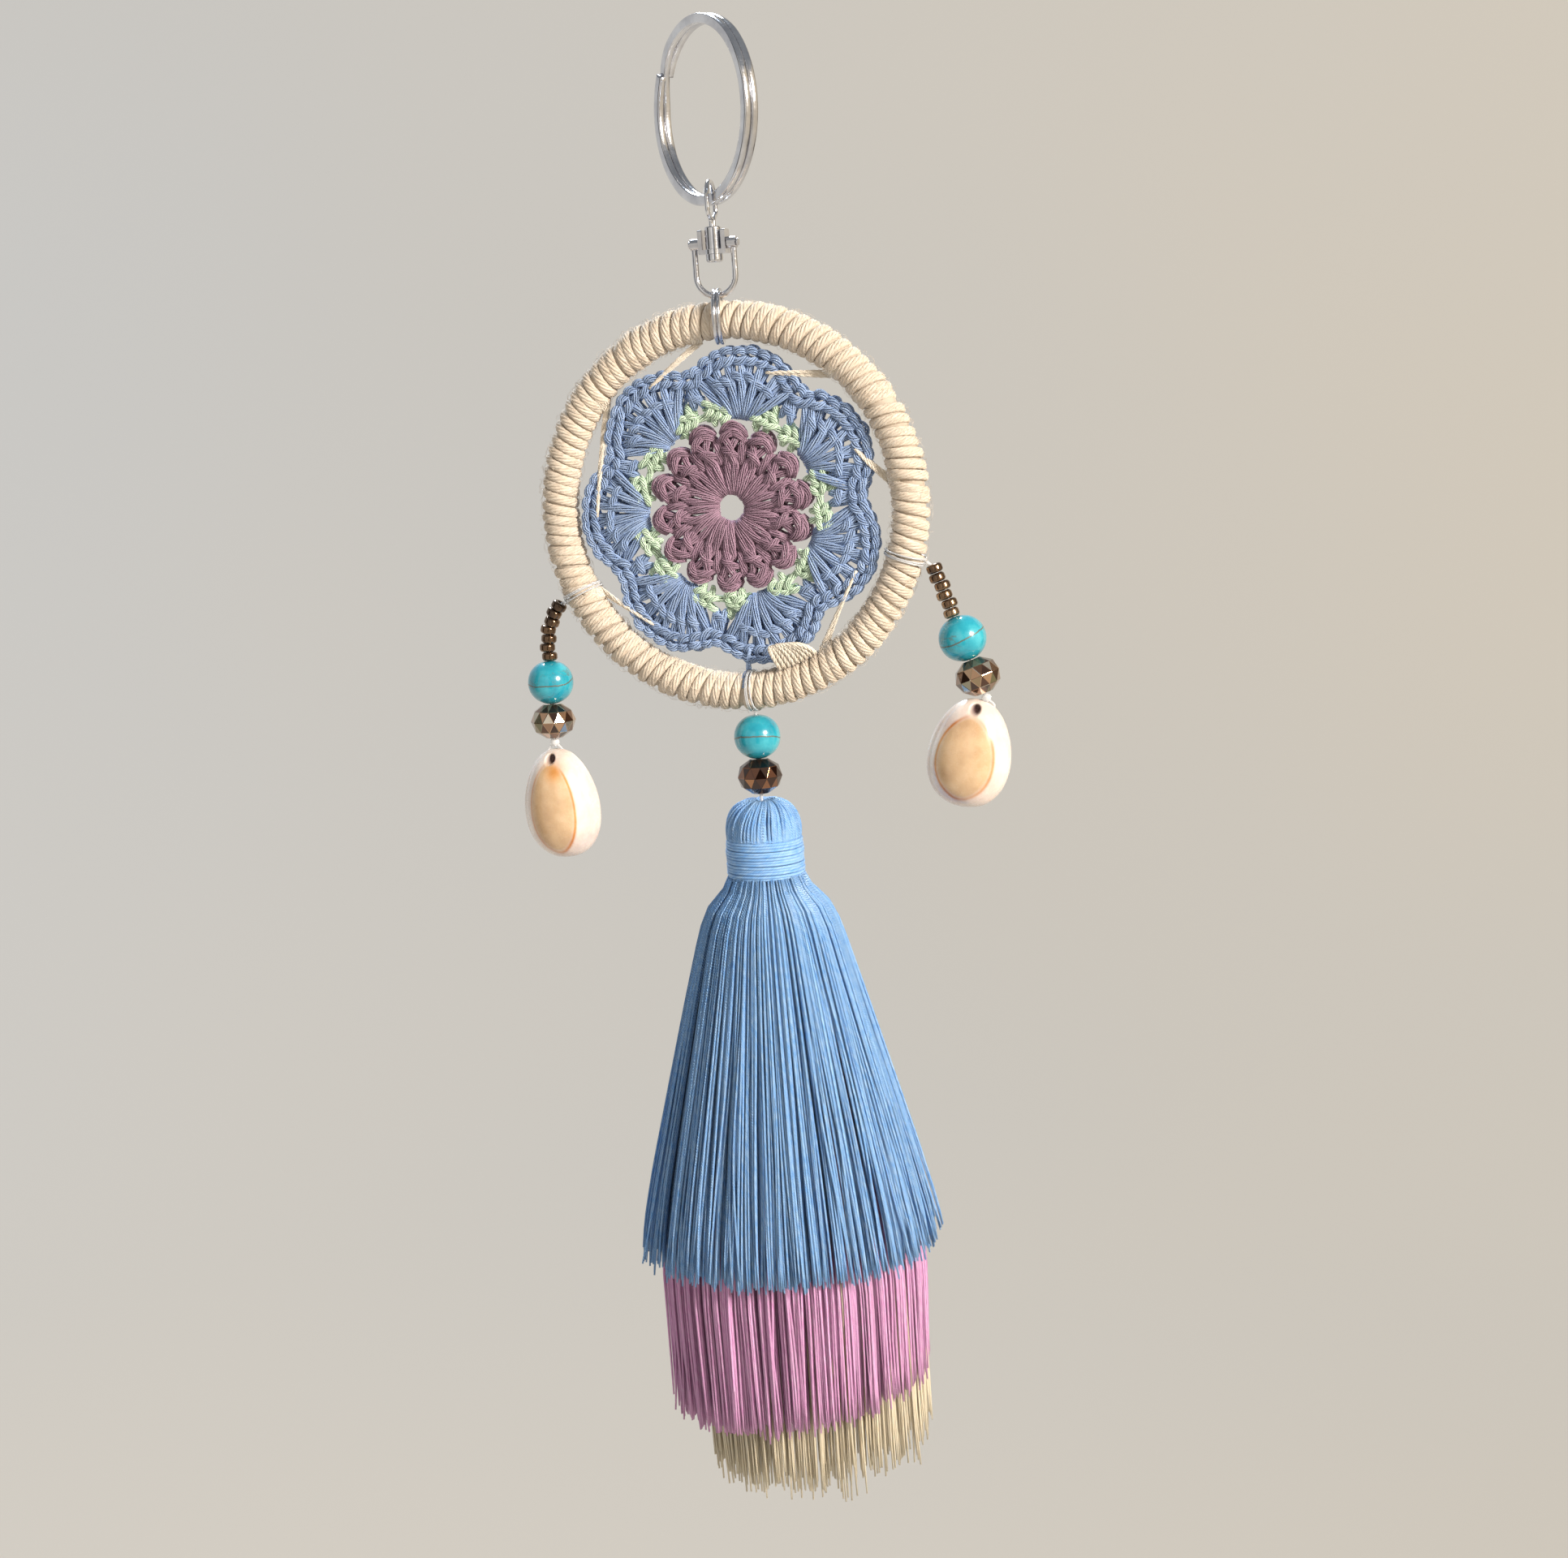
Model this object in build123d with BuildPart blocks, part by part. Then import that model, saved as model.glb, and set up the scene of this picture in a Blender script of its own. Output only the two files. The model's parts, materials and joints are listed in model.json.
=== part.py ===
from build123d import *
import math
import os

# Dream catcher charm on a key ring. Millimetres, +Z up.
# The origin is the hang point: the inner top of the key ring. The hoop stands in the XZ plane
# and faces -Y. Everything below the key ring hangs on the Z axis.

# ---------------------------------------------------------------- driving dimensions
KEY_RING_INNER_R = 13.3
KEY_RING_RADIAL = 1.7
KEY_RING_COIL = 1.3  # width of one of the two coils, along the ring's axis
KEY_RING_ROUND = 0.5  # edge rounding of a coil
KEY_RING_YAW = -41.0  # the ring's plane is turned this far from the hoop's

EYE_WIRE = 0.8
EYE_INNER_R = 2.6
EYE_YAW = 7.0  # direction that the eye's plane faces
EYE_SHOULDER = 1.2  # straight part of the eye below its round top
EYE_FOOT_SPREAD = 0.75  # half the distance between the eye's two feet
EYE_FOOT_DEPTH = 1.0  # length of foot held in the barrel

BARREL_R = 1.35
BARREL_TOP = -31.6
BARREL_BOTTOM = -35.2
BARREL_ROUND = 0.25
RIVET_SHANK_R = 0.7
RIVET_HEAD_R = 1.4
RIVET_HEAD_HEIGHT = 1.3
RIVET_GRIP = 1.5  # length of shank pressed into the barrel
RIVET_ROUND = 0.5

PLATE_THICK = 0.7
PLATE_CLEARANCE = 0.06
PLATE_BORE_R = 0.77
PLATE_MARGIN = 0.2  # how far the plate shows round the rivet's head
YOKE_ROUND = 0.3
EAR_INNER = 1.65  # half the gap between the two ears
EAR_THICK = 0.7
EAR_TOP = -32.1
EAR_WIDTH = 2.4
BOW_PIN_R = 0.4
BOW_PIN_CLEARANCE = 0.05
BOW_PIN_HEAD = 0.2  # how far a pin's head stands out round its shank
BOW_PIN_HEAD_THICK = 0.25
BOW_PIN_Z = -34.3

BOW_WIRE = 1.0
BOW_R = 3.35  # centreline radius of the U
BOW_KNUCKLE_R = 0.95
BOW_KNUCKLE_WIDTH = 1.45
KNUCKLE_GAP = 0.1

JUMP_INNER_R = 3.8
JUMP_WIRE = 0.8
JUMP_COIL_OFFSET = 0.36  # of each of the two coils from the ring's middle
JUMP_YAW = 13.0
LINK_GAP = 0.05  # slack left where one link rests on the next

HOOP_CENTRE_Z = -77.0
HOOP_R = 30.5  # centreline radius
HOOP_TUBE_R = 3.2
HOOP_CORE_R = 1.5

WEB_THICK = 2.4
WEB_HOLE_R = 2.4
MAUVE_R = 14.3
MINT_R = 18.4
MINT_EYELETS = 14
MINT_EYELET_R = 0.8
BLUE_BAND_R = 23.2
SCALLOPS = 7
SCALLOP_R = 6.2
SCALLOP_CENTRE_R = 20.4
SCALLOP_PHASE = 28.0  # angle of the first scallop, from +X towards +Z
ROUND_GAP = 0.05  # gap between one crochet round and the next

TIE_R = 0.45
TIE_END_GAP = 0.08
KNOT_BALL_R = 1.2
LACING_KNOT_ANGLE = -72.0
LACING_KNOT_R = 24.9
LACING_KNOT_FRONT = 2.6  # how far the knot sits in front of the hoop's plane

WRAP_GAP = 0.02
WRAP_THICK = 0.33
WRAP_WIDTH = 1.2

THREAD_R = 0.3
THREAD_BEND_R = 0.6
THREAD_START_GAP = 0.1
SEED_R = 1.33
SEED_HEIGHT = 1.45
SEED_PITCH = 1.53
SEED_HOLE_R = 0.62
SEED_ROUND = 0.5
SEED_ZIGZAG = 0.15  # how far beads sit off the thread, by turns to each side
BEAD_HOLE_R = 0.38
BEAD_GAP = 0.05
TURQUOISE_R = 3.9
TURQUOISE_HALF_HEIGHT = 3.7
RONDELLE_R = 3.9
RONDELLE_HALF_HEIGHT = 2.9
RONDELLE_TABLE_R = 1.7
RONDELLE_GIRDLE = 1.8  # height of the upright facets
RONDELLE_SIDES = 12

KNOT_R = 0.8
LOOP_R = 0.25
LOOP_HALF_WIDTH = 1.8
LOOP_DROP = 1.7  # from the knot's centre to the loop's lower run
LOOP_CORNER = 0.4

COWRIE_LENGTH = 17.2
COWRIE_WIDTH = 13.8
COWRIE_DEPTH = 8.4
COWRIE_LUG_HALF_WIDTH = 0.7
COWRIE_LUG_R = 0.65
COWRIE_LUG_REACH = 1.9  # how far the lug runs down into the shell
COWRIE_HOLE_R = 0.4
# Sections from the lower end to the upper: place along the shell, then share of its width.
COWRIE_SECTIONS = [
    (-0.5, 0.30),
    (-0.44, 0.56),
    (-0.3, 0.86),
    (-0.05, 1.0),
    (0.2, 0.9),
    (0.38, 0.64),
    (0.47, 0.36),
]

DROP_X = 1.7  # the centre drop hangs a little right of the hoop's lowest point
DROP_TOP_Z = -111.2
DROP_TURQUOISE_Z = -115.3
DROP_KNOT_Z = -127.3
DROP_KNOT_R = 0.9
KNOT_POCKET_GAP = 0.08
POCKET_MOUTH_LOW_R = 0.2
POCKET_MOUTH_TOP_R = 1.0

DOME_TOP_Z = -126.0
DOME_R = 6.1
DOME_SIDE = 1.2  # height of the straight part below the dome's curve
DOME_SHOULDER_R = 3.8
DOME_SHOULDER_DROP = 1.1
NECK_TOP_Z = -131.6
NECK_BOTTOM_Z = -139.3
NECK_R = 6.35
NECK_ROUND = 0.5
BUNDLE_BLUE_R = 5.2  # outer radius of the blue layer inside the neck
BUNDLE_PINK_R = 3.8
BUNDLE_CREAM_R = 2.3
LAYER_GAP = 0.05
TIE_HEIGHT = 2.0  # height of the binding round the inner layers
TIE_ROUND = 0.3
FLARE = [(11.3, -155.0), (16.4, -171.0), (21.0, -187.0), (25.4, -203.0)]  # outside of the blue layer
SKIRT_WALL = 2.6
SKIRT_GAP = 0.35  # slack between one layer and the next
BLUE_HEM_Z = -204.0
BLUE_HEM_R = 25.5
PINK_HEM_Z = -229.0
PINK_HEM_R = 22.2
CREAM_HEM_Z = -244.5
CREAM_HEM_R = 19.0

# ---------------------------------------------------------------- places worked out from them
KEY_RING_Z = -KEY_RING_INNER_R
KEY_RING_MID_R = KEY_RING_INNER_R + KEY_RING_RADIAL / 2
EYE_CENTRE_Z = KEY_RING_Z - KEY_RING_MID_R
JUMP_BOTTOM_Z = HOOP_CENTRE_Z + HOOP_R - HOOP_TUBE_R - LINK_GAP
JUMP_CENTRE_Z = JUMP_BOTTOM_Z + JUMP_INNER_R
BOW_BOTTOM_Z = JUMP_CENTRE_Z + JUMP_INNER_R - LINK_GAP - BOW_WIRE / 2
BOW_ARC_Z = BOW_BOTTOM_Z + BOW_R
PLATE_TOP = BARREL_BOTTOM - PLATE_CLEARANCE
PLATE_BOTTOM = PLATE_TOP - PLATE_THICK
HOOP_CENTRE = Vector(0, 0, HOOP_CENTRE_Z)
WRAP_OUTER_R = HOOP_TUBE_R + WRAP_GAP + WRAP_THICK
BEAD_SPACING = TURQUOISE_HALF_HEIGHT + RONDELLE_HALF_HEIGHT + BEAD_GAP


def ring_plane(centre_z, yaw):
    """Plane through the Z axis whose x runs level in the ring's plane and whose z is the ring's axis."""
    turn = math.radians(yaw)
    return Plane(
        origin=(0, 0, centre_z),
        x_dir=(math.cos(turn), math.sin(turn), 0),
        z_dir=(math.sin(turn), -math.cos(turn), 0),
    )


def section_plane(centre_z, yaw):
    """Plane that cuts a ring: x is the ring's radius and y is along the ring's axis."""
    ring = ring_plane(centre_z, yaw)
    return Plane(origin=ring.origin, x_dir=ring.x_dir, z_dir=ring.x_dir.cross(ring.z_dir))


def hoop_point(radius, angle):
    """Point in the hoop's plane, at an angle from +X towards +Z."""
    turn = math.radians(angle)
    return HOOP_CENTRE + Vector(radius * math.cos(turn), 0, radius * math.sin(turn))


def bead_plane(centre, direction):
    """Plane at a bead's centre whose z runs along the thread."""
    return Plane(origin=centre, x_dir=(0, 1, 0), z_dir=direction)


def save(part, name):
    """Label a finished piece and write it under its own name."""
    part.part.label = name
    export_step(part.part, f"parts/{name}.step")


os.makedirs("parts", exist_ok=True)

# ---------------------------------------------------------------- key ring and swivel
key_plane = ring_plane(KEY_RING_Z, KEY_RING_YAW)
with BuildPart() as key_ring:
    with BuildSketch(section_plane(KEY_RING_Z, KEY_RING_YAW)):
        with Locations((KEY_RING_MID_R, KEY_RING_COIL / 2), (KEY_RING_MID_R, -KEY_RING_COIL / 2)):
            RectangleRounded(KEY_RING_RADIAL, KEY_RING_COIL, KEY_RING_ROUND)
        with Locations((KEY_RING_MID_R, 0)):
            Rectangle(KEY_RING_RADIAL - KEY_RING_ROUND, KEY_RING_COIL)
    revolve(axis=Axis(key_plane.origin, key_plane.z_dir))
save(key_ring, "key_ring")

eye_plane = ring_plane(EYE_CENTRE_Z, EYE_YAW - 90)
eye_r = EYE_INNER_R + EYE_WIRE / 2
eye_foot_y = BARREL_TOP - EYE_FOOT_DEPTH - EYE_CENTRE_Z
eye_neck_y = BARREL_TOP - EYE_CENTRE_Z + EYE_WIRE / 2
with BuildPart() as swivel_eye:
    with BuildLine(eye_plane) as eye_path:
        RadiusArc((-eye_r, 0), (eye_r, 0), eye_r)
        Line((eye_r, 0), (eye_r, -EYE_SHOULDER))
        Spline(
            (eye_r, -EYE_SHOULDER),
            (EYE_FOOT_SPREAD, eye_neck_y),
            tangents=((0, -1), (0, -1)),
        )
        Line((EYE_FOOT_SPREAD, eye_neck_y), (EYE_FOOT_SPREAD, eye_foot_y))
        Line((-eye_r, 0), (-eye_r, -EYE_SHOULDER))
        Spline(
            (-eye_r, -EYE_SHOULDER),
            (-EYE_FOOT_SPREAD, eye_neck_y),
            tangents=((0, -1), (0, -1)),
        )
        Line((-EYE_FOOT_SPREAD, eye_neck_y), (-EYE_FOOT_SPREAD, eye_foot_y))
    foot = eye_plane.from_local_coords(Vector(EYE_FOOT_SPREAD, eye_foot_y, 0))
    with BuildSketch(Plane(origin=foot, z_dir=(0, 0, 1))):
        Circle(EYE_WIRE / 2)
    sweep(path=eye_path.wire())
save(swivel_eye, "swivel_eye")

feet = [eye_plane.from_local_coords(Vector(side * EYE_FOOT_SPREAD, 0, 0)) for side in (-1, 1)]
with BuildPart() as swivel_barrel:
    with BuildSketch(Plane.XY.offset(BARREL_BOTTOM)):
        Circle(BARREL_R)
    extrude(amount=BARREL_TOP - BARREL_BOTTOM)
    fillet(swivel_barrel.edges().group_by(Axis.Z)[-1], BARREL_ROUND)
    with BuildSketch(Plane.XY.offset(BARREL_TOP)):
        with Locations(*[(point.X, point.Y) for point in feet]):
            Circle(EYE_WIRE / 2)
    extrude(amount=-EYE_FOOT_DEPTH, mode=Mode.SUBTRACT)
    with BuildSketch(Plane.XY.offset(BARREL_BOTTOM)):
        Circle(RIVET_SHANK_R)
    extrude(amount=RIVET_GRIP, mode=Mode.SUBTRACT)
save(swivel_barrel, "swivel_barrel")

rivet_head_top = PLATE_BOTTOM - PLATE_CLEARANCE
with BuildPart() as swivel_rivet:
    with BuildSketch(Plane.XY.offset(rivet_head_top)):
        Circle(RIVET_SHANK_R)
    extrude(amount=BARREL_BOTTOM + RIVET_GRIP - rivet_head_top)
    with BuildSketch(Plane.XY.offset(rivet_head_top)):
        Circle(RIVET_HEAD_R)
    extrude(amount=-RIVET_HEAD_HEIGHT)
    fillet(swivel_rivet.edges().group_by(Axis.Z)[0], RIVET_ROUND)
save(swivel_rivet, "swivel_rivet")

with BuildPart() as swivel_yoke:
    with BuildSketch(Plane.XY.offset(PLATE_BOTTOM)):
        RectangleRounded(2 * (EAR_INNER + EAR_THICK), EAR_WIDTH, YOKE_ROUND)
        Circle(RIVET_HEAD_R + PLATE_MARGIN)
        Circle(PLATE_BORE_R, mode=Mode.SUBTRACT)
    extrude(amount=PLATE_THICK)
    with BuildSketch(Plane.YZ.offset(-EAR_INNER - EAR_THICK)):
        with Locations((0, (EAR_TOP + PLATE_BOTTOM) / 2)):
            RectangleRounded(EAR_WIDTH, EAR_TOP - PLATE_BOTTOM, YOKE_ROUND)
    extrude(amount=EAR_THICK)
    with BuildSketch(Plane.YZ.offset(EAR_INNER)):
        with Locations((0, (EAR_TOP + PLATE_BOTTOM) / 2)):
            RectangleRounded(EAR_WIDTH, EAR_TOP - PLATE_BOTTOM, YOKE_ROUND)
    extrude(amount=EAR_THICK)
    with BuildSketch(Plane.YZ):
        with Locations((0, BOW_PIN_Z)):
            Circle(BOW_PIN_R)
    extrude(amount=EAR_INNER + EAR_THICK, both=True, mode=Mode.SUBTRACT)
save(swivel_yoke, "swivel_yoke")

knuckle_inner = EAR_INNER + EAR_THICK + KNUCKLE_GAP
knuckle_outer = knuckle_inner + BOW_KNUCKLE_WIDTH
pin_end = knuckle_outer + KNUCKLE_GAP
for side, name in ((-1, "bow_pin_left"), (1, "bow_pin_right")):
    with BuildPart() as bow_pin:
        with BuildSketch(Plane.YZ.offset(side * EAR_INNER)):
            with Locations((0, BOW_PIN_Z)):
                Circle(BOW_PIN_R)
        extrude(amount=side * (pin_end - EAR_INNER))
        with BuildSketch(Plane.YZ.offset(side * pin_end)):
            with Locations((0, BOW_PIN_Z)):
                Circle(BOW_PIN_R + BOW_PIN_HEAD)
        extrude(amount=side * BOW_PIN_HEAD_THICK)
    save(bow_pin, name)

with BuildPart() as swivel_bow:
    with BuildLine(Plane.XZ) as bow_path:
        Line((-BOW_R, BOW_PIN_Z), (-BOW_R, BOW_ARC_Z))
        RadiusArc((-BOW_R, BOW_ARC_Z), (BOW_R, BOW_ARC_Z), -BOW_R)
        Line((BOW_R, BOW_ARC_Z), (BOW_R, BOW_PIN_Z))
    with BuildSketch(Plane(origin=(-BOW_R, 0, BOW_PIN_Z), z_dir=(0, 0, -1))):
        Circle(BOW_WIRE / 2)
    sweep(path=bow_path.wire())
    for side in (-1, 1):
        with BuildSketch(Plane.YZ.offset(side * knuckle_inner)):
            with Locations((0, BOW_PIN_Z)):
                Circle(BOW_KNUCKLE_R)
        extrude(amount=side * BOW_KNUCKLE_WIDTH)
    with BuildSketch(Plane.YZ):
        with Locations((0, BOW_PIN_Z)):
            Circle(BOW_PIN_R + BOW_PIN_CLEARANCE)
    extrude(amount=knuckle_outer + BOW_WIRE, both=True, mode=Mode.SUBTRACT)
save(swivel_bow, "swivel_bow")

jump_plane = ring_plane(JUMP_CENTRE_Z, JUMP_YAW - 90)
jump_mid_r = JUMP_INNER_R + JUMP_WIRE / 2
with BuildPart() as jump_ring:
    with BuildSketch(section_plane(JUMP_CENTRE_Z, JUMP_YAW - 90)):
        with Locations((jump_mid_r, JUMP_COIL_OFFSET), (jump_mid_r, -JUMP_COIL_OFFSET)):
            Circle(JUMP_WIRE / 2)
    revolve(axis=Axis(jump_plane.origin, jump_plane.z_dir))
save(jump_ring, "jump_ring")

# ---------------------------------------------------------------- hoop and crochet web
hoop_face = Plane(origin=HOOP_CENTRE, x_dir=(1, 0, 0), z_dir=(0, -1, 0))
with BuildPart(hoop_face) as hoop_core:
    Torus(HOOP_R, HOOP_CORE_R)
save(hoop_core, "hoop_core")

with BuildPart(hoop_face) as hoop_winding:
    Torus(HOOP_R, HOOP_TUBE_R)
    Torus(HOOP_R, HOOP_CORE_R, mode=Mode.SUBTRACT)
save(hoop_winding, "hoop_winding")

with BuildPart() as rosette_centre:
    with BuildSketch(hoop_face):
        Circle(MAUVE_R)
        Circle(WEB_HOLE_R, mode=Mode.SUBTRACT)
    extrude(amount=WEB_THICK / 2, both=True)
save(rosette_centre, "rosette_centre")

with BuildPart() as rosette_mint_round:
    with BuildSketch(hoop_face):
        Circle(MINT_R)
        Circle(MAUVE_R + ROUND_GAP, mode=Mode.SUBTRACT)
        with PolarLocations((MAUVE_R + MINT_R) / 2, MINT_EYELETS):
            Circle(MINT_EYELET_R, mode=Mode.SUBTRACT)
    extrude(amount=WEB_THICK / 2, both=True)
save(rosette_mint_round, "rosette_mint_round")

with BuildPart() as rosette_blue_round:
    with BuildSketch(hoop_face):
        Circle(BLUE_BAND_R)
        with PolarLocations(SCALLOP_CENTRE_R, SCALLOPS, start_angle=SCALLOP_PHASE):
            Circle(SCALLOP_R)
        Circle(MINT_R + ROUND_GAP, mode=Mode.SUBTRACT)
    extrude(amount=WEB_THICK / 2, both=True)
save(rosette_blue_round, "rosette_blue_round")

# A white tie crosses from the hoop to the web in each valley between two scallops.
tie_inner_r = BLUE_BAND_R + TIE_END_GAP
tie_outer_r = HOOP_R - HOOP_TUBE_R - TIE_END_GAP
for index in range(SCALLOPS):
    tie_angle = SCALLOP_PHASE + (index + 0.5) * 360 / SCALLOPS
    outward = (hoop_point(1, tie_angle) - HOOP_CENTRE).normalized()
    with BuildPart() as lacing_tie:
        with BuildSketch(Plane(origin=hoop_point(tie_inner_r, tie_angle), z_dir=outward)):
            Circle(TIE_R)
        extrude(amount=tie_outer_r - tie_inner_r)
    save(lacing_tie, f"lacing_tie_{index + 1}")

lacing_knot_centre = hoop_point(LACING_KNOT_R, LACING_KNOT_ANGLE) - Vector(0, LACING_KNOT_FRONT, 0)
lacing_knot_plane = Plane(origin=lacing_knot_centre)
with BuildPart(lacing_knot_plane) as lacing_knot:
    Sphere(KNOT_BALL_R)
save(lacing_knot, "lacing_knot")

# ---------------------------------------------------------------- strands and centre drop
# Each strand: the angle where its line leaves the hoop, then the points of its line, given from
# the hoop's centre. The first point carries the first seed bead.
LEFT_ANGLE = 205.2
LEFT_ROUTE = [
    (-32.3, -15.2),
    (-33.35, -16.7),
    (-34.2, -18.2),
    (-34.7, -19.9),
    (-34.9, -21.6),
    (-34.93, -24.0),
]
LEFT_SEEDS = 7
RIGHT_ANGLE = -17.5
RIGHT_ROUTE = [(33.85, -11.4), (35.05, -14.83)]
RIGHT_SEEDS = 6
LEFT_COWRIE = (-34.7, -49.2, -4.0)  # centre from the hoop's centre, then lean in degrees
RIGHT_COWRIE = (38.2, -43.2, 12.5)


def make_wrap(name, angle):
    """Clear line wound round the hoop's tube, where a drop is tied on."""
    tangent = Vector(-math.sin(math.radians(angle)), 0, math.cos(math.radians(angle)))
    with BuildPart() as wrap:
        with BuildSketch(Plane(origin=hoop_point(HOOP_R, angle), z_dir=tangent)):
            Circle(WRAP_OUTER_R)
            Circle(HOOP_TUBE_R + WRAP_GAP, mode=Mode.SUBTRACT)
        extrude(amount=WRAP_WIDTH / 2, both=True)
    save(wrap, name)


def make_seed(name, centre, direction):
    """Small round glass bead."""
    with BuildPart() as seed:
        with BuildSketch(bead_plane(centre, direction)):
            Circle(SEED_R)
            Circle(SEED_HOLE_R, mode=Mode.SUBTRACT)
        extrude(amount=SEED_HEIGHT / 2, both=True)
        rims = seed.edges().filter_by(GeomType.CIRCLE).sort_by(SortBy.RADIUS)[-2:]
        fillet(rims, SEED_ROUND)
    save(seed, name)


def make_turquoise(name, centre, direction):
    """Round stone bead with flat ends where its hole is drilled."""
    plane = bead_plane(centre, direction)
    with BuildPart() as turquoise:
        with BuildSketch(Plane(origin=centre, x_dir=(0, 1, 0), z_dir=plane.z_dir.cross(Vector(0, 1, 0)))):
            Circle(TURQUOISE_R)
            Rectangle(2 * TURQUOISE_R, 2 * TURQUOISE_HALF_HEIGHT, mode=Mode.INTERSECT)
            with Locations((TURQUOISE_R + BEAD_HOLE_R, 0)):
                Rectangle(2 * TURQUOISE_R, 4 * TURQUOISE_R, mode=Mode.INTERSECT)
        revolve(axis=Axis(centre, plane.z_dir))
    save(turquoise, name)


def make_rondelle(name, centre, direction):
    """Faceted glass bead: two cut cones on an upright faceted girdle."""
    plane = bead_plane(centre, direction)
    with BuildPart() as rondelle:
        for height, radius in (
            (-RONDELLE_HALF_HEIGHT, RONDELLE_TABLE_R),
            (-RONDELLE_GIRDLE / 2, RONDELLE_R),
            (RONDELLE_GIRDLE / 2, RONDELLE_R),
            (RONDELLE_HALF_HEIGHT, RONDELLE_TABLE_R),
        ):
            with BuildSketch(plane.offset(height)):
                RegularPolygon(radius, RONDELLE_SIDES)
        loft(ruled=True)
        with BuildSketch(plane):
            Circle(BEAD_HOLE_R)
        extrude(amount=RONDELLE_HALF_HEIGHT, both=True, mode=Mode.SUBTRACT)
    save(rondelle, name)


def make_knot(name, centre):
    """Knot with the small loop below it that carries the shell."""
    low = centre.Z - LOOP_DROP
    with BuildPart() as knot:
        with BuildLine(Plane.XZ) as loop_path:
            FilletPolyline(
                (centre.X, centre.Z),
                (centre.X - LOOP_HALF_WIDTH, low),
                (centre.X + LOOP_HALF_WIDTH, low),
                close=True,
                radius=LOOP_CORNER,
            )
        with BuildSketch(Plane(origin=(centre.X, 0, low), z_dir=(1, 0, 0))):
            Circle(LOOP_R)
        sweep(path=loop_path.wire())
        with Locations(centre):
            Sphere(KNOT_R)
    save(knot, name)


def make_cowrie(name, centre, lean, hang):
    """Cowrie shell as one egg-shaped solid, with a lug at its upper end that the loop runs through."""
    turn = math.radians(lean)
    shell_plane = Plane(origin=centre, x_dir=(0, 1, 0), z_dir=(math.sin(turn), 0, math.cos(turn)))
    with BuildPart() as cowrie:
        for place, share in COWRIE_SECTIONS:
            with BuildSketch(shell_plane.offset(place * COWRIE_LENGTH)):
                Ellipse(share * COWRIE_DEPTH / 2, share * COWRIE_WIDTH / 2)
        loft()
        with BuildSketch(Plane.YZ.offset(hang.X - COWRIE_LUG_HALF_WIDTH)):
            with Locations((0, hang.Z - COWRIE_LUG_REACH / 2)):
                SlotCenterToCenter(COWRIE_LUG_REACH, 2 * COWRIE_LUG_R, rotation=90)
        extrude(amount=2 * COWRIE_LUG_HALF_WIDTH)
        with BuildSketch(Plane.YZ.offset(hang.X)):
            with Locations((0, hang.Z)):
                Circle(COWRIE_HOLE_R)
        extrude(amount=2 * COWRIE_WIDTH, both=True, mode=Mode.SUBTRACT)
    save(cowrie, name)


def route_point(points, distance):
    """Point at a distance along straight runs; the last run goes on without end."""
    left = distance
    for start, end in zip(points, points[1:]):
        run = end - start
        if left <= run.length or end is points[-1]:
            return start + run.normalized() * left
        left -= run.length


def route_direction(points, distance):
    """Direction of the line at a distance, taken across one bead."""
    ahead = route_point(points, distance + SEED_HEIGHT)
    behind = route_point(points, distance - SEED_HEIGHT)
    return (ahead - behind).normalized()


def make_strand(side, angle, route, seeds, shell):
    """One beaded strand: wrap, line, seed beads, turquoise, rondelle, knot and cowrie."""
    make_wrap(f"wrap_{side}", angle)
    points = [HOOP_CENTRE + Vector(x, 0, z) for x, z in route]
    sign = 1
    for index in range(seeds):
        place = route_point(points, index * SEED_PITCH)
        direction = route_direction(points, index * SEED_PITCH)
        aside = direction.cross(Vector(0, 1, 0)) * (SEED_ZIGZAG * sign if index else 0)
        make_seed(f"{side}_seed_{index + 1}", place + aside, direction)
        sign = -sign
    turquoise_at = (seeds - 1) * SEED_PITCH + SEED_HEIGHT / 2 + BEAD_GAP + TURQUOISE_HALF_HEIGHT
    turquoise = route_point(points, turquoise_at)
    direction = (points[-1] - points[-2]).normalized()
    make_turquoise(f"{side}_turquoise", turquoise, direction)
    rondelle = turquoise + direction * BEAD_SPACING
    make_rondelle(f"{side}_rondelle", rondelle, direction)
    knot = rondelle + direction * (RONDELLE_HALF_HEIGHT + KNOT_R + BEAD_GAP)
    make_knot(f"{side}_knot", knot)
    start = hoop_point(HOOP_R + WRAP_OUTER_R + THREAD_START_GAP, angle)
    with BuildPart() as thread:
        with BuildLine() as line:
            FilletPolyline(start, *points[:-1], knot, radius=THREAD_BEND_R)
        with BuildSketch(Plane(origin=start, z_dir=points[0] - start)):
            Circle(THREAD_R)
        sweep(path=line.wire())
        with Locations(knot):
            Sphere(KNOT_R, mode=Mode.SUBTRACT)
    save(thread, f"{side}_thread")
    shell_x, shell_z, lean = shell
    hang = knot - Vector(0, 0, LOOP_DROP)
    make_cowrie(f"{side}_cowrie", HOOP_CENTRE + Vector(shell_x, 0, shell_z), lean, hang)


make_strand("left", LEFT_ANGLE, LEFT_ROUTE, LEFT_SEEDS, LEFT_COWRIE)
make_strand("right", RIGHT_ANGLE, RIGHT_ROUTE, RIGHT_SEEDS, RIGHT_COWRIE)

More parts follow.
